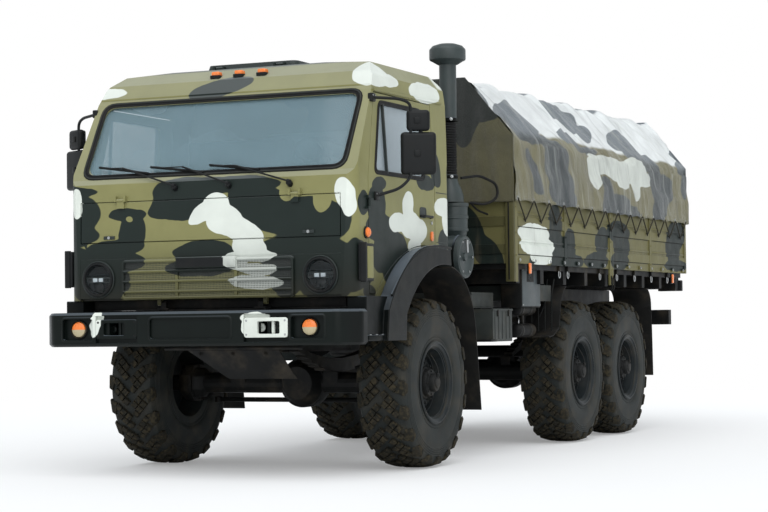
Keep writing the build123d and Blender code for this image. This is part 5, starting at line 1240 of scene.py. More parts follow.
def headlamp(shape, x):
    """A round lamp with a dark bowl, a bridge with two small lenses, and a smooth cover."""
    y = CAB_FRONT - 0.006
    z = LAMP_Z
    bowl = [
        (0.124, -0.002), (0.124, 0.006), (0.119, 0.013), (0.110, 0.015), (0.105, 0.010), (0.101, -0.004),
        (0.096, -0.018), (0.0, -0.030), (0.0, -0.034), (0.118, -0.034), (0.124, -0.012)]
    shape.lathe(bowl, (x, y, z), AHEAD, "plastic", 64)
    gap = [(0.1345, -0.004), (0.1345, 0.003), (0.130, 0.006), (0.126, 0.003), (0.126, -0.004)]
    shape.lathe(gap, (x, y, z), AHEAD, "slate", 64, closed=True)
    # Brow, bridge and lower bulge inside the bowl
    shape.slab((x - 0.094, y - 0.006, z + 0.026), (x + 0.094, y + 0.016, z + 0.036), "arch", 0.003)
    shape.slab((x - 0.098, y - 0.002, z - 0.024), (x + 0.098, y + 0.020, z + 0.020), "slate", 0.005, 3)
    for side in (-1, 1):
        middle = x + side * 0.024
        shape.slab((middle - 0.018, y - 0.008, z - 0.016), (middle + 0.018, y + 0.010, z + 0.012), "led",
                   0.004, 3)
        middle = x + side * 0.072
        shape.slab((middle - 0.020, y - 0.005, z - 0.014), (middle + 0.020, y + 0.010, z + 0.010), "plastic",
                   0.004)
    bulge = [(0.046, -0.030), (0.040, -0.012), (0.026, -0.002), (0.0, 0.003), (0.0, -0.03)]
    shape.lathe(bulge, (x, y, z - 0.058), AHEAD, "plastic", 32)
    cover = [
        (0.102, 0.006), (0.080, 0.012), (0.045, 0.016), (0.0, 0.0175), (0.0, 0.0150), (0.045, 0.0135),
        (0.080, 0.0095), (0.102, 0.0035)]
    shape.lathe(cover, (x, y, z), AHEAD, "cover", 48)


def marker(shape, x, y, z, finish, wide=0.033, tall=0.034):
    """A small roof lamp with a domed lens on a black foot."""
    shape.slab((x - wide - 0.006, y - 0.036, z - 0.020), (x + wide + 0.006, y + 0.036, z + 0.006), "plastic",
               0.005)
    shape.slab((x - wide, y - 0.030, z), (x + wide, y + 0.030, z + tall), finish, 0.012, 4)


def cab_lamps():
    """Headlamps, roof markers and corner lamps, in place of the plain ones."""
    shape = Shape()
    for side in (-1, 1):
        headlamp(shape, side * LAMP_X)
    for x in (-0.19, 0.0, 0.19):
        marker(shape, x, -3.28, 2.884, "amber")
    cup = [(0.043, -0.004), (0.043, 0.008), (0.037, 0.012), (0.0, 0.012), (0.0, -0.004)]
    dome = [(0.035, 0.010), (0.034, 0.020), (0.024, 0.030), (0.010, 0.034), (0.0, 0.035), (0.0, 0.010)]
    for side in (-1, 1):
        marker(shape, side * 0.94, -3.15, 2.868, "clear", 0.022, 0.028)
        # Corner lamp low on each side, in a black cup
        place = on_side(-3.611, 1.690)
        place.x *= side
        shape.lathe(cup, place, (side, 0, 0), "plastic", 32)
        shape.lathe(dome, place, (side, 0, 0), "amber", 32)
    shape.piece("cab_lamps_detail", "cab", ["cab_lamps"])


def corner_trim(shape):
    """Air guide ahead of the front wheel: a dark channel with a painted outer edge."""
    shape.slab((1.148, -3.745, 1.352), (1.200, -3.590, 1.612), "plastic", 0.010, 3)
    shape.slab((1.168, -3.752, 1.346), (1.212, -3.725, 1.618), "plastic", 0.006, 3)
    shape.slab((1.176, -3.712, 1.372), (1.208, -3.612, 1.592), "khaki", 0.006, 2)


def arch_trim(shape):
    """Lip of the wheel arch, the step below its front leg and the step's tread plate."""
    arch = [(-3.401, 1.245), (-3.223, 1.400), (-2.997, 1.546), (-2.813, 1.596), (-2.484, 1.615),
            (-2.303, 1.601)]
    path = rounded([Vector((1.243, y, z + 0.012)) for y, z in arch], 0.1, steps=3)
    lip = [(-0.010, -0.004), (0.010, -0.004), (0.011, 0.004), (0.004, 0.009), (-0.008, 0.006)]
    shape.sweep(path, lip, "arch", up=LEFT)
    shape.slab((1.060, -3.742, 0.948), (1.224, -3.212, 0.982), "arch", 0.006, 2)
    for index in range(9):
        y = -3.70 + index * 0.052
        finish = "bright" if index % 2 == 0 else "plastic"
        shape.slab((1.085, y, 0.980), (1.215, y + 0.022, 0.988), finish, 0.002, 1)


def cab_sides():
    """The cab's corner and arch trim on both sides."""
    shape = Shape()
    corner_trim(shape)
    arch_trim(shape)
    shape.mirrored()
    shape.piece("cab_corner_trim", "cab")


def sill_beam():
    """Cross member under the cab's front, with its two tubes, seen between the bumper and the grille."""
    shape = Shape()
    shape.slab((-1.02, -3.66, 1.176), (1.02, -3.58, 1.256), "chassis", 0.012, 3)
    for z in (1.165, 1.262):
        shape.tube([(-0.98, -3.67, z), (0.98, -3.67, z)], 0.010, "seal", 10)
    shape.piece("cab_sill_beam", "cab")


def flap_trim():
    """Pulls on the service flap."""
    shape = Shape()
    for x in (-0.80, 0.80):
        spot = on_front(x, 1.70)
        shape.slab((x - 0.045, spot.y - 0.010, 1.688), (x + 0.045, spot.y + 0.002, 1.712), "slate", 0.004)
        shape.lathe([(0.011, 0.008), (0.011, 0.014), (0.0, 0.014), (0.0, 0.008)], (x, spot.y, 1.70),
                    (0, -1, 0), "bright", 20)
    shape.piece("flap_pulls", "front_flap")


# Each wiper's pivot, knee and the two ends of its blade, as width and height on the windscreen
WIPERS = [
    ((-0.255, 2.043), (-0.72, 2.190), (-0.931, 2.212), (-0.500, 2.150)),
    ((0.178, 2.043), (-0.22, 2.178), (-0.494, 2.196), (-0.040, 2.140)),
    ((0.659, 2.038), (0.20, 2.170), (-0.010, 2.190), (0.400, 2.140))]


def wipers():
    """Three wipers on the windscreen, in place of the plain ones."""
    shape = Shape()
    foot = [(0.022, -0.02), (0.022, 0.012), (0.016, 0.020), (0.012, 0.034), (0.006, 0.038), (0, 0.038),
            (0, -0.02)]
    blade = [(-0.004, -0.012), (0.004, -0.012), (0.008, 0.002), (0.005, 0.008), (-0.005, 0.008),
             (-0.008, 0.002)]
    for pivot, knee, tip, heel in WIPERS:
        base = on_screen(*pivot, 0.004)
        shape.lathe(foot, base, SCREEN_OUT, "plastic", 24)
        elbow = on_screen(*knee, 0.030)
        middle = base * 0.6 + elbow * 0.4 + SCREEN_OUT * 0.016
        shape.tube([base + SCREEN_OUT * 0.026, middle, elbow], 0.0065, "plastic", 10, bend=0.03)
        first, last = on_screen(*tip, 0.014), on_screen(*heel, 0.014)
        middle = (first + last) / 2 + SCREEN_OUT * 0.002
        shape.sweep([first, middle, last], blade, "seal", up=SCREEN_OUT)
        near, far = (first.lerp(last, share) + SCREEN_OUT * 0.008 for share in (0.25, 0.75))
        shape.tube([near, elbow, far], 0.004, "plastic", 8)
    shape.piece("wiper_arms", "cab", ["wipers"])


def mirror_shape(shape):
    """Two housings on a bent tube, their glass towards the back."""
    arm = [
        (1.150, -3.44, 1.95), (1.30, -3.36, 2.00), (1.365, -3.31, 2.08), (1.365, -3.31, 2.60),
        (1.30, -3.35, 2.63), (1.128, -3.435, 2.642)]
    shape.tube(arm, 0.011, "plastic", 12, bend=0.05)
    for x, y, z in (arm[0], arm[-1]):
        shape.slab((x - 0.022, y - 0.030, z - 0.030), (x + 0.018, y + 0.030, z + 0.030), "plastic", 0.008, 3)
        for along in (-0.017, 0.017):
            shape.bolt((x + 0.017, y + along, z + 0.014), LEFT, 0.005, "bright")
    spin = Matrix.Translation((1.405, -3.27, 0)) @ Matrix.Rotation(radians(27), 4, "Z")
    seal = [(0.006, 0.0), (0.003, 0.005), (-0.003, 0.005), (-0.006, 0.0)]
    pane = [(0.0, 0.0), (-0.001, 0.004)]
    for z, wide, tall in ((2.247, 0.250, 0.300), (2.478, 0.165, 0.150)):
        part = Shape()
        part.slab((-wide / 2, -0.031, z - tall / 2), (wide / 2, 0.029, z + tall / 2), "plastic", 0.030, 5)
        for inset, y, profile, finish, corner in (
                (0.012, 0.027, seal, "seal", 0.018), (0.014, 0.026, pane, "mirror", 0.016)):
            corners = [(-a * (wide / 2 - inset), y, z + b * (tall / 2 - inset)) for a, b in SQUARE]
            part.rim(corners, profile, (0, 1, 0), finish, corner, filled=finish == "mirror")
        part.slab((-0.03, -0.040, z - 0.022), (0.012, -0.026, z + 0.022), "plastic", 0.004)
        shape.join(part, spin)


def door_trim(shape):
    """Window seal with its upright, the handle over its cup, the side repeater and the hinges' bolts."""
    out = Vector((1, 0, SIDE_LEAN))
    corners = [on_window(y, z) for y, z in ((-3.440, 2.122), (-2.572, 2.122), (-2.572, 2.618),
                                            (-3.305, 2.618))]
    seal = [
        (-0.012, -0.014), (-0.012, 0.002), (-0.006, 0.006), (0.002, 0.006), (0.006, 0.003), (0.010, 0.006),
        (0.018, 0.005), (0.022, -0.004)]
    shape.rim(corners, seal, out, "seal", 0.05)
    post = [on_window(-3.236, 2.118, -0.002), on_window(-3.244, 2.612, -0.002)]
    bar = [(-0.011, -0.010), (0.011, -0.010), (0.011, 0.006), (0.006, 0.009), (-0.006, 0.009),
           (-0.011, 0.006)]
    shape.sweep(post, bar, "slate", up=out)
    x = on_side(-2.60, 1.86).x
    cup = [(0.006, -0.002), (0.004, 0.004), (-0.004, 0.003), (-0.012, 0.001)]
    shape.side_rim((x, -2.61, 1.87), (0.055, 0.035), cup, "slate", 0.028)
    handle = [(x - 0.002, -2.665, 1.842), (x + 0.034, -2.660, 1.842), (x + 0.036, -2.50, 1.840),
              (x - 0.002, -2.470, 1.838)]
    shape.tube(handle, 0.0095, "plastic", 12, bend=0.02)
    lock = [(0.013, -0.002), (0.013, 0.006), (0.009, 0.008), (0, 0.008), (0, -0.002)]
    shape.lathe(lock, (x, -2.452, 1.80), LEFT, "bright", 20)
    x = on_side(-2.45, 1.70).x
    repeater = [(0.004, -0.002), (0.004, 0.008), (-0.002, 0.010), (-0.010, 0.012)]
    shape.side_rim((x, -2.45, 1.70), (0.020, 0.032), repeater, "amber", 0.018)
    for z in (1.404, 1.436, 1.884, 1.916):
        shape.bolt((CAB_SIDE + 0.001, -3.525, z), LEFT, 0.007, "cab")


def doors_and_mirrors():
    """Mirrors and door trim, made for the left side and flipped over for the right."""
    for name in ("left", "right"):
        for word, make in (("mirror", mirror_shape), ("door_trim", door_trim)):
            shape = Shape()
            make(shape)
            if name == "right":
                shape.flipped()
            replaces = [f"mirror_{name}"] if make is mirror_shape else []
            shape.piece(f"{word}_{name}_detail", f"door_{name}", replaces)


def cab_pieces():
    """Everything that is added to the cab and its doors."""
    for make in (screen_seal, gutters, grille, cab_lamps, cab_sides, sill_beam, flap_trim, wipers,
                 doors_and_mirrors):
        make()


# Chassis


def jaw_plate(shape, side, finish):
    """A pressed plate with four bolts round a tow opening, with its cheeks and pin."""
    x = side * TOW_X
    y = BUMPER_FACE
    z = BUMPER_MIDDLE
    steps = (
        (0.168, 0.068, 0, 0.012), (0.168, 0.068, 0, 0.001), (0.165, 0.065, 0, -0.002),
        (0.088, 0.046, 0.020, -0.002), (0.085, 0.043, 0.020, 0.002), (0.085, 0.043, 0.020, 0.022))
    loops = []
    for wide, tall, shift, back in steps:
        corners = [Vector((x + side * shift + a * wide, y + back, z + b * tall)) for a, b in SQUARE]
        loops.append(rounded(corners, 0.014 if shift else 0.024, True))
    shape.skin(loops, finish, round_rows=True)
    for a, b in ((-1, -1), (-1, 1), (1, -1), (1, 1)):
        place = (x + a * 0.148, y + 0.004, z + b * 0.048)
        shape.bolt(place, AHEAD, 0.009, "bright" if finish == "pale" else "chassis")
    pin = [(0.013, -0.056), (0.013, 0.056), (0.0, 0.056), (0.0, -0.056)]
    shape.lathe(pin, (x + 0.040, y + 0.040, z), UP, finish, 20)
    cheek = [(0.030, 0.0), (0.030, 0.010), (0.020, 0.014), (0.012, 0.010), (0.0, 0.010), (0.0, 0.0)]
    for across in (-0.070, 0.010):
        shape.lathe(cheek, (x + across, y + 0.080, z), AHEAD, finish, 20)


def half_lens(shape, place, start, finish):
    """Half of a domed round lens that faces forwards, from one turn to the turn across from it."""
    part = bmesh.new()
    turns = [start + pi * index / 20 for index in range(21)]
    rings = []
    for radius, out in ((0.056, 0.010), (0.052, 0.022), (0.034, 0.032), (0.0, 0.036)):
        offsets = [Vector((radius * cos(turn), -out, radius * sin(turn))) for turn in turns]
        rings.append([part.verts.new(place + offset) for offset in offsets])
    for first, second in zip(rings, rings[1:]):
        for index in range(20):
            part.faces.new((first[index], first[index + 1], second[index + 1], second[index]))
    bmesh.ops.remove_doubles(part, verts=part.verts, dist=0.00001)
    part.normal_update()
    if sum(face.normal.y for face in part.faces) > 0:
        bmesh.ops.reverse_faces(part, faces=part.faces)
    shape.take(part, finish, closed=False)


def bumper_lamps(shape):
    """Round lamps in their pockets, the upper half amber and the lower half smoky."""
    ring = [(0.066, -0.006), (0.066, 0.018), (0.060, 0.022), (0.057, 0.016), (0.057, -0.006)]
    for side in (-1, 1):
        place = Vector((side * INDICATOR_X, -4.012, BUMPER_MIDDLE))
        shape.lathe(ring, place, AHEAD, "chassis", 40, closed=True)
        half_lens(shape, place, 0, "amber")
        half_lens(shape, place, pi, "smoke")


def front_end():
    """Everything on the bumper's face: recess mouldings, tow plates and lamps."""
    shape = Shape()
    y = BUMPER_FACE
    moulding = [(-0.004, -0.014), (-0.004, 0.004), (0.004, 0.006), (0.012, 0.001), (0.012, -0.002)]
    shape.box_rim((0, y, BUMPER_MIDDLE), (0.322, 0.075), moulding, "bumper", 0.028)
    for side in (-1, 1):
        shape.box_rim((side * 0.909, y, BUMPER_MIDDLE), (0.128, 0.078), moulding, "bumper", 0.024)
        jaw_plate(shape, side, "pale" if side > 0 else "bumper")
    shape.slab((-0.318, y + 0.012, 0.970), (0.318, y + 0.020, 1.116), "bumper", 0.002, 1)
    bumper_lamps(shape)
    shape.piece("bumper_fittings", "chassis")


def lamp_pair():
    """Reflectors behind the bumper lenses, and the lamp clusters at the back, in place of plain lamps."""
    shape = Shape()
    reflector = [(0.056, -0.002), (0.056, 0.012), (0.0, 0.012), (0.0, -0.002)]
    for side in (-1, 1):
        shape.lathe(reflector, (side * INDICATOR_X, -4.010, BUMPER_MIDDLE), AHEAD, "silver", 32)
        x = side * 1.105
        shape.slab((x - 0.120, 3.92, 1.355), (x + 0.120, 3.972, 1.465), "plastic", 0.008, 3)
        for low, high, finish in ((-0.112, -0.040, "amber"), (-0.036, 0.036, "red"), (0.040, 0.112, "clear")):
            shape.slab((x + low, 3.966, 1.363), (x + high, 3.990, 1.457), finish, 0.007, 3)
    shape.piece("lamp_clusters", "chassis", ["chassis_lamps"])


# Profiles of radius and height of the raised intake, and of radius and width of its filter drum
HOSE = [(0.058 + 0.008 * (index % 2), 0.010 * index) for index in range(45)] + [(0.05, 0.44), (0.05, 0.0)]
RAIN_CAP = [
    (0.070, 3.080), (0.084, 3.086), (0.120, 3.108), (0.140, 3.118), (0.143, 3.126), (0.143, 3.196),
    (0.140, 3.204), (0.118, 3.228), (0.070, 3.244), (0.0, 3.249), (0.0, 3.235), (0.130, 3.190),
    (0.132, 3.132), (0.064, 3.096)]
ELBOW = [(0.062, 2.20), (0.074, 2.15), (0.098, 2.10), (0.112, 2.05), (0.114, 2.00), (0.0, 2.00), (0.0, 2.20)]
CANISTER = [
    (0.116, 1.995), (0.121, 1.990), (0.121, 1.970), (0.113, 1.962), (0.112, 1.900), (0.118, 1.894),
    (0.118, 1.872), (0.112, 1.866), (0.111, 1.800), (0.117, 1.794), (0.117, 1.776), (0.108, 1.768),
    (0.098, 1.735), (0.0, 1.735), (0.0, 1.995)]
FILTER_DRUM = [
    (0.166, 0.0), (0.168, 0.012), (0.168, 0.225), (0.164, 0.238), (0.150, 0.246), (0.140, 0.244),
    (0.128, 0.228), (0.112, 0.220), (0.050, 0.216), (0.034, 0.222), (0.030, 0.240), (0.012, 0.244),
    (0.0, 0.244), (0.0, 0.0)]


def air_intake():
    """Raised intake: filter drum, canister and elbow, ribbed hose, clamps, pipe and rain cap."""
    shape = Shape()
    pipe = [(0.066, 2.655), (0.067, 3.085), (0.058, 3.085), (0.058, 2.655)]
    shape.lathe(pipe, STACK, UP, "intake", 48, closed=True)
    shape.lathe(RAIN_CAP, STACK, UP, "intake", 64)
    shape.lathe(HOSE, STACK + Vector((0, 0, 2.185)), UP, "seal", 40, closed=True)
    clamp = [(0.067, 0.0), (0.071, 0.004), (0.071, 0.026), (0.067, 0.030), (0.060, 0.03), (0.060, 0.0)]
    for z in (2.635, 2.185):
        shape.lathe(clamp, STACK + Vector((0, 0, z)), UP, "arch", 40, closed=True)
        shape.bolt(STACK + Vector((0.046, -0.056, z + 0.015)), (0.6, -0.8, 0), 0.008, "bright", 0.020)
    shape.lathe(ELBOW, STACK, UP, "intake", 48)
    shape.lathe(CANISTER, STACK + Vector((0.02, 0.03, 0)), UP, "intake", 56)
    # Filter drum lying across, with its bands, catch and bolts
    shape.lathe(FILTER_DRUM, DRUM, LEFT, "intake", 64)
    for along in (0.060, 0.180):
        band = [(0.1675, along), (0.172, along + 0.003), (0.172, along + 0.020), (0.1675, along + 0.023)]
        shape.lathe(band, DRUM, LEFT, "arch", 64)
    shape.slab((1.120, -1.712, 1.600), (1.140, -1.688, 1.700), "bright", 0.005, 2)
    for turn in range(6):
        offset = Vector((0.242, 0.132 * cos(turn * pi / 3), 0.132 * sin(turn * pi / 3)))
        shape.bolt(DRUM + offset, LEFT, 0.006, "bright")
    # Bracket, pipe to the engine, bend to the canister and the brace up to the pipe
    shape.slab((0.82, -1.80, 1.10), (0.90, -1.60, 1.46), "chassis", 0.008)
    shape.slab((0.46, -1.74, 1.70), (0.90, -1.66, 1.78), "plastic", 0.02, 3)
    shape.tube([(0.955, -1.60, 1.76), (0.955, -1.62, 1.72), (0.93, -1.69, 1.70)], 0.055, "seal", 20,
               bend=0.03)
    shape.tube([(0.80, -1.70, 1.75), (0.84, -1.66, 2.25), (0.90, -1.62, 2.62)], 0.009, "plastic", 10)
    # Air line looped between the cab and the body
    loop = [
        (0.99, -1.46, 2.20), (1.06, -1.24, 2.23), (1.15, -1.10, 2.17), (1.16, -1.09, 2.06),
        (1.07, -1.14, 2.00), (0.96, -1.20, 2.02)]
    shape.tube(loop, 0.011, "seal", 10, bend=0.06)
    shape.tube([(0.96, -1.20, 2.02), (0.99, -1.12, 1.96), (1.04, -1.02, 1.93)], 0.008, "seal", 8, bend=0.03)
    shape.piece("air_intake_detail", "chassis", ["air_intake"])


def side_marker(shape, y, z):
    """An amber lamp on a black foot, on the left side."""
    shape.slab((1.225, y - 0.026, z - 0.050), (1.238, y + 0.026, z + 0.050), "plastic", 0.004)
    shape.slab((1.236, y - 0.022, z - 0.044), (1.252, y + 0.022, z + 0.044), "amber", 0.007, 3)


def board_fittings():
    """Hinges, bolts, hooks and latches of the drop sides, with the side markers."""
    shape = Shape()
    for index in range(14):
        y = -0.86 + index * 0.366
        shape.slab((1.240, y - 0.030, 1.545), (1.2535, y + 0.030, 1.580), "body", 0.003)
        shape.bolt((1.2525, y, 1.562), LEFT, 0.009, "bright", 0.008)
    for index in range(13):
        y = -0.74 + index * 0.377
        hook = [(1.236, y - 0.015, 1.900), (1.258, y - 0.013, 1.896), (1.260, y, 1.872),
                (1.258, y + 0.013, 1.896), (1.236, y + 0.015, 1.900)]
        shape.tube(hook, 0.0038, "chassis", 8, bend=0.01)
    # Shadow lines and lips of the pressed bands between the posts
    for index in range(4):
        low = BODY_FRONT + index * BAY_LENGTH + 0.050
        high = low + 1.150
        for z in (1.650, 1.876):
            shape.slab((1.2375, low, z - 0.046), (1.2400, high, z - 0.040), "groove", 0.0008, 1)
            shape.slab((1.2375, low, z + 0.062), (1.2460, high, z + 0.080), "body", 0.0035, 2)
    # Pair of latch posts in the middle, with their handles below
    for y in (1.515, 1.575):
        shape.slab((1.232, y - 0.022, 1.385), (1.252, y + 0.022, 2.250), "body", 0.005)
        handle = [(1.250, y, 1.47), (1.262, y, 1.44), (1.262, y, 1.36), (1.240, y, 1.335)]
        shape.tube(handle, 0.008, "chassis", 8, bend=0.015)
    # Rings hanging under the floor
    for y in (0.20, 0.42, 1.30, 1.80, 2.35, 2.90, 3.45):
        turns = [turn * pi / 8 for turn in range(16)]
        ring = [(1.215, y + 0.024 * cos(turn), 1.462 + 0.030 * sin(turn)) for turn in turns]
        shape.tube(ring, 0.005, "bright", 8, closed=True)
        shape.slab((1.195, y - 0.014, 1.480), (1.222, y + 0.014, 1.534), "chassis", 0.003)
    # Bolts up the posts
    for index in range(5):
        y = min(max(BODY_FRONT + index * BAY_LENGTH, BODY_FRONT + 0.03), BODY_REAR - 0.06)
        for z in (1.60, 1.78, 1.99, 2.17):
            shape.bolt((1.2505, y, z), LEFT, 0.007, "body", 0.006)
    side_marker(shape, -0.604, 1.498)
    side_marker(shape, 3.545, 1.475)
    shape.mirrored()
    # Folded corner posts, seen from the front
    for low, high in ((1.176, 1.250), (-1.250, -1.176)):
        shape.slab((low, -0.990, 1.385), (high, -0.960, 2.030), "body", 0.006)
    for low, high in ((1.200, 1.212), (-1.212, -1.200)):
        shape.slab((low, -0.994, 1.40), (high, -0.985, 2.025), "chassis", 0.003)
    shape.piece("board_fittings", "chassis")


def under_body():
    """Details of the boxes, tanks, steps and guards along the chassis."""
    shape = Shape()
    # Tool box with its lid seam, and the battery box with pressed ribs
    for z in (1.19, 1.285):
        shape.slab((0.998, -1.295, z - 0.004), (1.004, -0.825, z + 0.004), "box", 0.001, 1)
    for index in range(5):
        y = -1.17 + index * 0.083
        shape.slab((1.148, y - 0.012, 0.925), (1.154, y + 0.012, 1.145), "box", 0.0025, 2)
    shape.slab((1.140, -1.225, 1.150), (1.156, -0.785, 1.168), "box", 0.004)
    for y in (-1.12, -0.88):
        shape.slab((1.150, y - 0.012, 1.105), (1.164, y + 0.012, 1.160), "steel", 0.003)
    # Step with a folded edge
    shape.slab((0.98, -1.34, 0.905), (1.18, -1.215, 0.925), "chassis", 0.004)
    # Grey box under the boards with its dark window
    shape.slab((1.1505, -0.50, 1.232), (1.160, 0.135, 1.368), "box", 0.004)
    # The box's body is black as painted shade on its front face; only its side plate is grey
    shape.slab((0.980, -0.60, 1.178), (1.165, -0.155, 1.510), "chassis", 0.008, 2)
    shape.slab((1.160, -0.590, 1.188), (1.171, -0.165, 1.502), "crate", 0.005, 2)
    shape.slab((1.165, -0.490, 1.390), (1.174, -0.330, 1.480), "chassis", 0.003)
    shape.slab((1.166, -0.470, 1.402), (1.176, -0.385, 1.468), "cover", 0.002)
    for y, z in ((-0.58, 1.20), (-0.18, 1.20), (-0.58, 1.49), (-0.18, 1.49)):
        shape.bolt((1.169, y, z), LEFT, 0.007, "bright")
    # Bands, front ends and pipes of the two air tanks
    band = [(0.0555, -0.013), (0.059, -0.011), (0.059, 0.011), (0.0555, 0.013)]
    dome = [(0.056, -0.006), (0.053, 0.010), (0.036, 0.024), (0.0, 0.030), (0.0, -0.006)]
    for z in (1.17, 0.99):
        for y in (-0.42, -0.23):
            shape.lathe(band, (1.06, y, z), (0, 1, 0), "steel", 40)
        shape.lathe(dome, (1.06, -0.462, z), AHEAD, "chassis", 32)
        pipe = [(1.06, -0.40, z + 0.054), (1.06, -0.40, z + 0.085), (1.04, -0.36, z + 0.12)]
        shape.tube(pipe, 0.006, "bright", 8, bend=0.02)
    # Pressed ribs of the guard ahead of the middle wheel
    for x in (0.90, 0.96, 1.02, 1.08, 1.14, 1.20):
        shape.tube([(x, 0.020, 0.98), (x, 0.030, 1.28), (x, 0.10, 1.42)], 0.007, "arch", 8, bend=0.06)
    # Transfer case and its cross tube between the frame rails
    shape.slab((-0.30, -1.25, 0.80), (0.34, -0.62, 1.02), "chassis", 0.04, 4)
    shape.slab((0.30, -1.30, 0.86), (0.78, -0.70, 0.925), "chassis", 0.012, 2)
    shape.tube([(-0.95, -1.10, 0.90), (0.95, -1.10, 0.90)], 0.035, "chassis", 16)
    # Hoses down to the axle
    shape.tube([(0.70, -0.75, 1.42), (0.78, -0.60, 1.10), (0.82, -0.45, 0.98)], 0.009, "seal", 8, bend=0.15)
    hose = [(1.02, 0.12, 1.45), (1.08, 0.16, 1.40), (1.10, 0.18, 1.25), (1.04, 0.16, 1.10)]
    shape.tube(hose, 0.009, "seal", 8, bend=0.10)
    shape.piece("chassis_fittings", "chassis")


def skid_plate():
    """The sloping guard seen under the bumper, ahead of the axle."""
    shape = Shape()
    outline = [(-0.22, 0.885), (0.51, 0.885), (0.56, 0.76), (0.60, 0.68), (0.06, 0.68)]
    shape.plate([(x, -3.70 + (0.885 - z) * 0.5, z) for x, z in outline], (0, 0.008, 0.004), "chassis", 0.003)
    shape.tube([(-0.40, -3.70, 0.90), (0.70, -3.70, 0.90)], 0.014, "chassis", 10)
    for x in (-0.12, 0.14, 0.40):
        shape.bolt((x, -3.700, 0.855), (0, -0.9, -0.4), 0.010, "chassis")
    shape.piece("skid_plate", "chassis")


def lacing():
    """Hem eyelets of the cover and the cord that runs from each one down to its hook."""
    shape = Shape()
    eyelet = [(0.019, -0.002), (0.019, 0.003), (0.014, 0.005), (0.010, 0.003), (0.010, -0.002)]
    for side in (1, -1):
        points = []
        for index in range(EYELETS):
            y = EYELET_FIRST + index * EYELET_STEP
            shape.lathe(eyelet, (side * 1.262, y, 2.062), (side, 0, 0), "bright", 20, closed=True)
            points += [(side * 1.270, y, 2.060), (side * 1.262, y + EYELET_STEP / 2, 1.885)]
        shape.tube(points[:-1], 0.006, "rope", 8, bend=0.03)
    shape.piece("hem_lacing", "chassis")


def chassis_pieces():
    """Everything that is added to the frame, the bumper and the bed."""
    for make in (front_end, lamp_pair, air_intake, board_fittings, under_body, skid_plate, lacing):
        make()


# Seats


PAD_TRIM = 0.016
PAD_SWELL = 0.014
PAD_FRAMES = 20


def pad(name, low, high):
    """A padded cushion: a soft box that is blown up as cloth, with its finish."""
    size = Vector([b - a - PAD_TRIM for a, b in zip(low, high)])
    part = box_part((Vector(low) + Vector(high)) / 2, size)
    soften(part, 0.030, 4)
    data = new_mesh(name, part)
    data.materials.append(PAINT["seat"])
    made = new_object(name, data)
    remesh = made.modifiers.new("grid", "REMESH")
    remesh.mode = "VOXEL"
    remesh.voxel_size = 0.012
    keep_shape(made)
    start = [vert.co.copy() for vert in made.data.vertices]
    blow = made.modifiers.new("blow", "CLOTH")
    blow.settings.use_pressure = True
    blow.settings.uniform_pressure_force = 4.0
    blow.settings.effector_weights.gravity = 0.0
    scene = bpy.context.scene
    for step in range(1, PAD_FRAMES + 1):
        scene.frame_set(step)
        bpy.context.view_layer.update()
    keep_shape(made)
    scene.frame_set(1)
    for vert, place in zip(made.data.vertices, start):
        move = vert.co - place
        vert.co = place + move.normalized() * min(move.length, PAD_SWELL)
    smooth = made.modifiers.new("smooth", "SUBSURF")
    smooth.levels = smooth.render_levels = 1
    for face in made.data.polygons:
        face.use_smooth = True
    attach(made, "cab")
    return made


def keep_shape(made):
    """Turns what the modifiers show into the mesh itself."""
    graph = bpy.context.evaluated_depsgraph_get()
    data = bpy.data.meshes.new_from_object(made.evaluated_get(graph))
    made.modifiers.clear()
    old = made.data
    made.data = data
    bpy.data.meshes.remove(old)


def seats():
    """Cushion and back of the driver's seat and of the bench, in place of the plain pads."""
    for name, low, high in (("driver", 0.40, 0.90), ("bench", -0.96, -0.06)):
        pad(f"{name}_cushion", (low, -2.93, 1.79), (high, -2.42, 1.92))
        pad(f"{name}_back", (low, -2.415, 1.80), (high, -2.225, 2.52))
    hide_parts("seat_pads")


# Cover


def between_bows(y):
    """0 at a bow and 1 halfway between two."""
    marks = [BODY_FRONT] + BOWS + [BODY_REAR]
    for first, second in zip(marks, marks[1:]):
        if first <= y <= second:
            return sin(pi * (y - first) / (second - first))
    return 0.0


def roof_line(y):
    """Heights of the cover's eave and ridge at one place along the truck."""
    share = (y - TARP_FRONT) / TARP_LENGTH
    return 2.56 + 0.05 * share, 3.062 + 0.058 * share


def cover_section(y, count):
    """The cover's outline at one place along the truck, evenly divided from hem to hem, and its length."""
    eave, ridge = roof_line(y)
    half = [
        (TARP_SIDE, HEM_Z), (TARP_SIDE, eave - 0.06), (TARP_SIDE - 0.012, eave - 0.005),
        (TARP_SIDE - 0.045, eave + 0.045), (RIDGE_X + 0.05, ridge - 0.052), (RIDGE_X, ridge - 0.014),
        (RIDGE_X - 0.08, ridge - 0.004), (0, ridge)]
    corners = half + [(-x, z) for x, z in reversed(half[:-1])]
    lengths = [hypot(b[0] - a[0], b[1] - a[1]) for a, b in zip(corners, corners[1:])]
    total = sum(lengths)
    points = []
    for index in range(count + 1):
        target = total * index / count
        for (a, b), length in zip(zip(corners, corners[1:]), lengths):
            if target <= length or b is corners[-1]:
                part = min(1.0, target / length)
                points.append((a[0] + (b[0] - a[0]) * part, a[1] + (b[1] - a[1]) * part))
                break
            target -= length
    return points, total


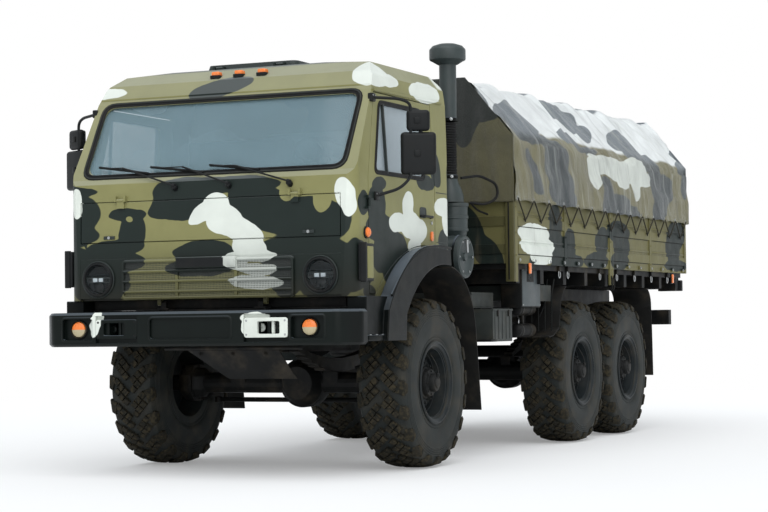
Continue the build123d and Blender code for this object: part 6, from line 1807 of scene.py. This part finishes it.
def cover_fold(y, x, z):
    """How far the cloth lies in or out of its plain shape at a place."""
    side = min(1.0, max(0.0, (2.60 - z) / 0.5))
    slack = -0.030 * between_bows(y) * (0.35 if z < 2.55 else 1.0)
    phase = (y - EYELET_FIRST) / EYELET_STEP
    lean = 0.45 * noise.noise(Vector((y * 1.3, z * 0.8, 3.1)))
    pleat = abs(sin(pi * (phase + lean * (1 - side)))) ** 0.7
    gather = -0.040 * side * (1 - pleat) + 0.010 * side
    ripple = 0.016 * side * noise.noise(Vector((y * 9.0, z * 2.2 + x, 1.7)))
    drape = 0.022 * noise.noise(Vector((y * 2.4 + z * 2.6, z * 1.1, 8.4 + x)))
    # Long folds that run back and down from each bow
    across = y * 0.84 + z * (0.85 if z > 2.55 else 0.35)
    fold = abs(noise.noise(Vector((across * 4.6, z * 0.9 - y * 0.5, 5.5 + x * 0.2))))
    fine = abs(noise.noise(Vector((across * 11.0, z * 1.6 + y * 0.6, 2.5))))
    loose = slack + gather + ripple + drape - 0.062 * fold * (1 - 0.35 * side) - 0.020 * fine + 0.010
    loose += 0.024 * min(1.0, max(0.0, (2.38 - z) / 0.12))
    # Held off by the bows, and by the boards that its foot lies on
    held = 0.002 - max(0.0, min(abs(y - bow) for bow in BOWS) - 0.035) * 0.45
    if z < 2.33:
        held = max(held, min(0.0, (2.33 - z) * 0.6 - 0.030))
    return min(max(loose, held), 0.030)


def cloth(name, rows):
    """A grid of rows of points as a sheet of the cover's cloth, with its real thickness."""
    part = bmesh.new()
    grid = [[part.verts.new(point) for point in row] for row in rows]
    for first, second in zip(grid, grid[1:]):
        for index in range(len(first) - 1):
            part.faces.new((first[index], first[index + 1], second[index + 1], second[index]))
    for face in part.faces:
        face.smooth = True
    data = new_mesh(name, part)
    data.materials.append(PAINT["tarp"])
    made = new_object(name, data)
    wall = made.modifiers.new("wall", "SOLIDIFY")
    wall.thickness = CLOTH_THICKNESS
    wall.offset = -1
    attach(made, "chassis")
    return made


def main_cover():
    """The cover over the bows, scalloped between its hem eyelets, and its girth from hem to hem."""
    along = 250
    across = 150
    rows = []
    for step in range(along + 1):
        y = -0.980 + 5.026 * step / along
        points, girth = cover_section(y, across)
        row = []
        for index, (x, z) in enumerate(points):
            before = points[max(0, index - 1)]
            after = points[min(across, index + 1)]
            tangent = Vector((after[0] - before[0], after[1] - before[1])).normalized()
            outward = Vector((tangent.y, -tangent.x))
            fold = cover_fold(y, x, z)
            if z < 2.1:
                scallop = abs(sin(pi * (y - EYELET_FIRST) / EYELET_STEP))
                z += 0.018 * scallop * (2.1 - z) / 0.07
            row.append(Vector((x + outward.x * fold, y, z + outward.y * fold)))
        rows.append(row[::-1])
    made = cloth("cover", rows)
    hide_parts("tarpaulin")
    return made, girth


def end_curtain(name, y, z_low, facing):
    """The cover's end wall, gathered a little towards its foot."""
    across = 110
    tall = 60
    eave, ridge = roof_line(y)
    rows = []
    for step in range(tall + 1):
        low = 1 - step / tall
        row = []
        for index in range(across + 1):
            u = -1 + 2 * index / across
            x = u * (TARP_SIDE - 0.006)
            slope = max(0.0, abs(x) - RIDGE_X) / (TARP_SIDE - RIDGE_X)
            top = ridge - 0.006 - slope * (ridge - eave)
            z = z_low + (top - z_low) * step / tall
            fold = 0.014 * low * sin(x * 2 * pi / 0.30)
            fold += 0.012 * noise.noise(Vector((x * 3.5 + z * 1.5, z * 0.8, y)))
            fold += 0.010 * noise.noise(Vector((x * 9.0, z * 1.6, y + 4)))
            edge = min(1.0, (1 - abs(u)) * 9) * min(1.0, low * 8 + 0.05)
            lift = 0.012 + 0.006 * low if facing < 0 else -0.006
            row.append(Vector((x, y + facing * (lift + abs(fold) * edge), z)))
        rows.append(row if facing < 0 else row[::-1])
    return cloth(name, rows)


def covers():
    """The cover and its two end curtains."""
    cover, girth = main_cover()
    front = end_curtain("front_curtain", -0.980, HEM_Z, -1)
    rear = end_curtain("rear_curtain", 4.048, 2.275, 1)


set_camera()
set_light()
set_floor()
wheels()
cab_pieces()
chassis_pieces()
seats()
covers()

# Finish of each solid that is shown as it is, and how far its edges are rounded
FINISHES = {
    "cab_shell": ("cab", 0.010), "door_left": ("cab", 0.005), "door_right": ("cab", 0.005),
    "front_flap": ("cab", 0.004), "grille_panel": ("cab", 0.003), "roof_hatch": ("cab", 0.004),
    "cab_arches": ("arch", 0.012), "cab_glass": ("screen", 0.001), "door_glass_left": ("window", 0.001),
    "door_glass_right": ("window", 0.001), "dashboard": ("plastic", 0.008),
    "steering_wheel": ("plastic", 0.002), "seat_bases": ("chassis", 0.006),
    "front_bumper": ("bumper", 0.006), "frame": ("chassis", 0.004), "leaf_springs": ("steel", 0.002),
    "front_axle": ("chassis", 0.006), "rear_axles": ("chassis", 0.006), "engine": ("steel", 0.01),
    "driveline": ("chassis", 0.006), "knuckle_left": ("chassis", 0.004),
    "knuckle_right": ("chassis", 0.004), "tie_rod": ("chassis", 0.002), "cargo_floor": ("chassis", 0.004),
    "cargo_boards": ("body", 0.005), "tailgate": ("body", 0.005), "tarp_bows": ("khaki", 0.002),
    "mudguards": ("flap", 0.002), "side_boxes": ("box", 0.006), "air_tanks": ("chassis", 0.004),
    "fuel_tank": ("slate", 0.01), "exhaust": ("steel", 0.004), "spare_carrier": ("slate", 0.004),
    "trunnion": ("chassis", 0.004), "mudguards_front": ("flap", 0.002)}
for node, (finish, edge) in FINISHES.items():
    dress(node, finish, edge)
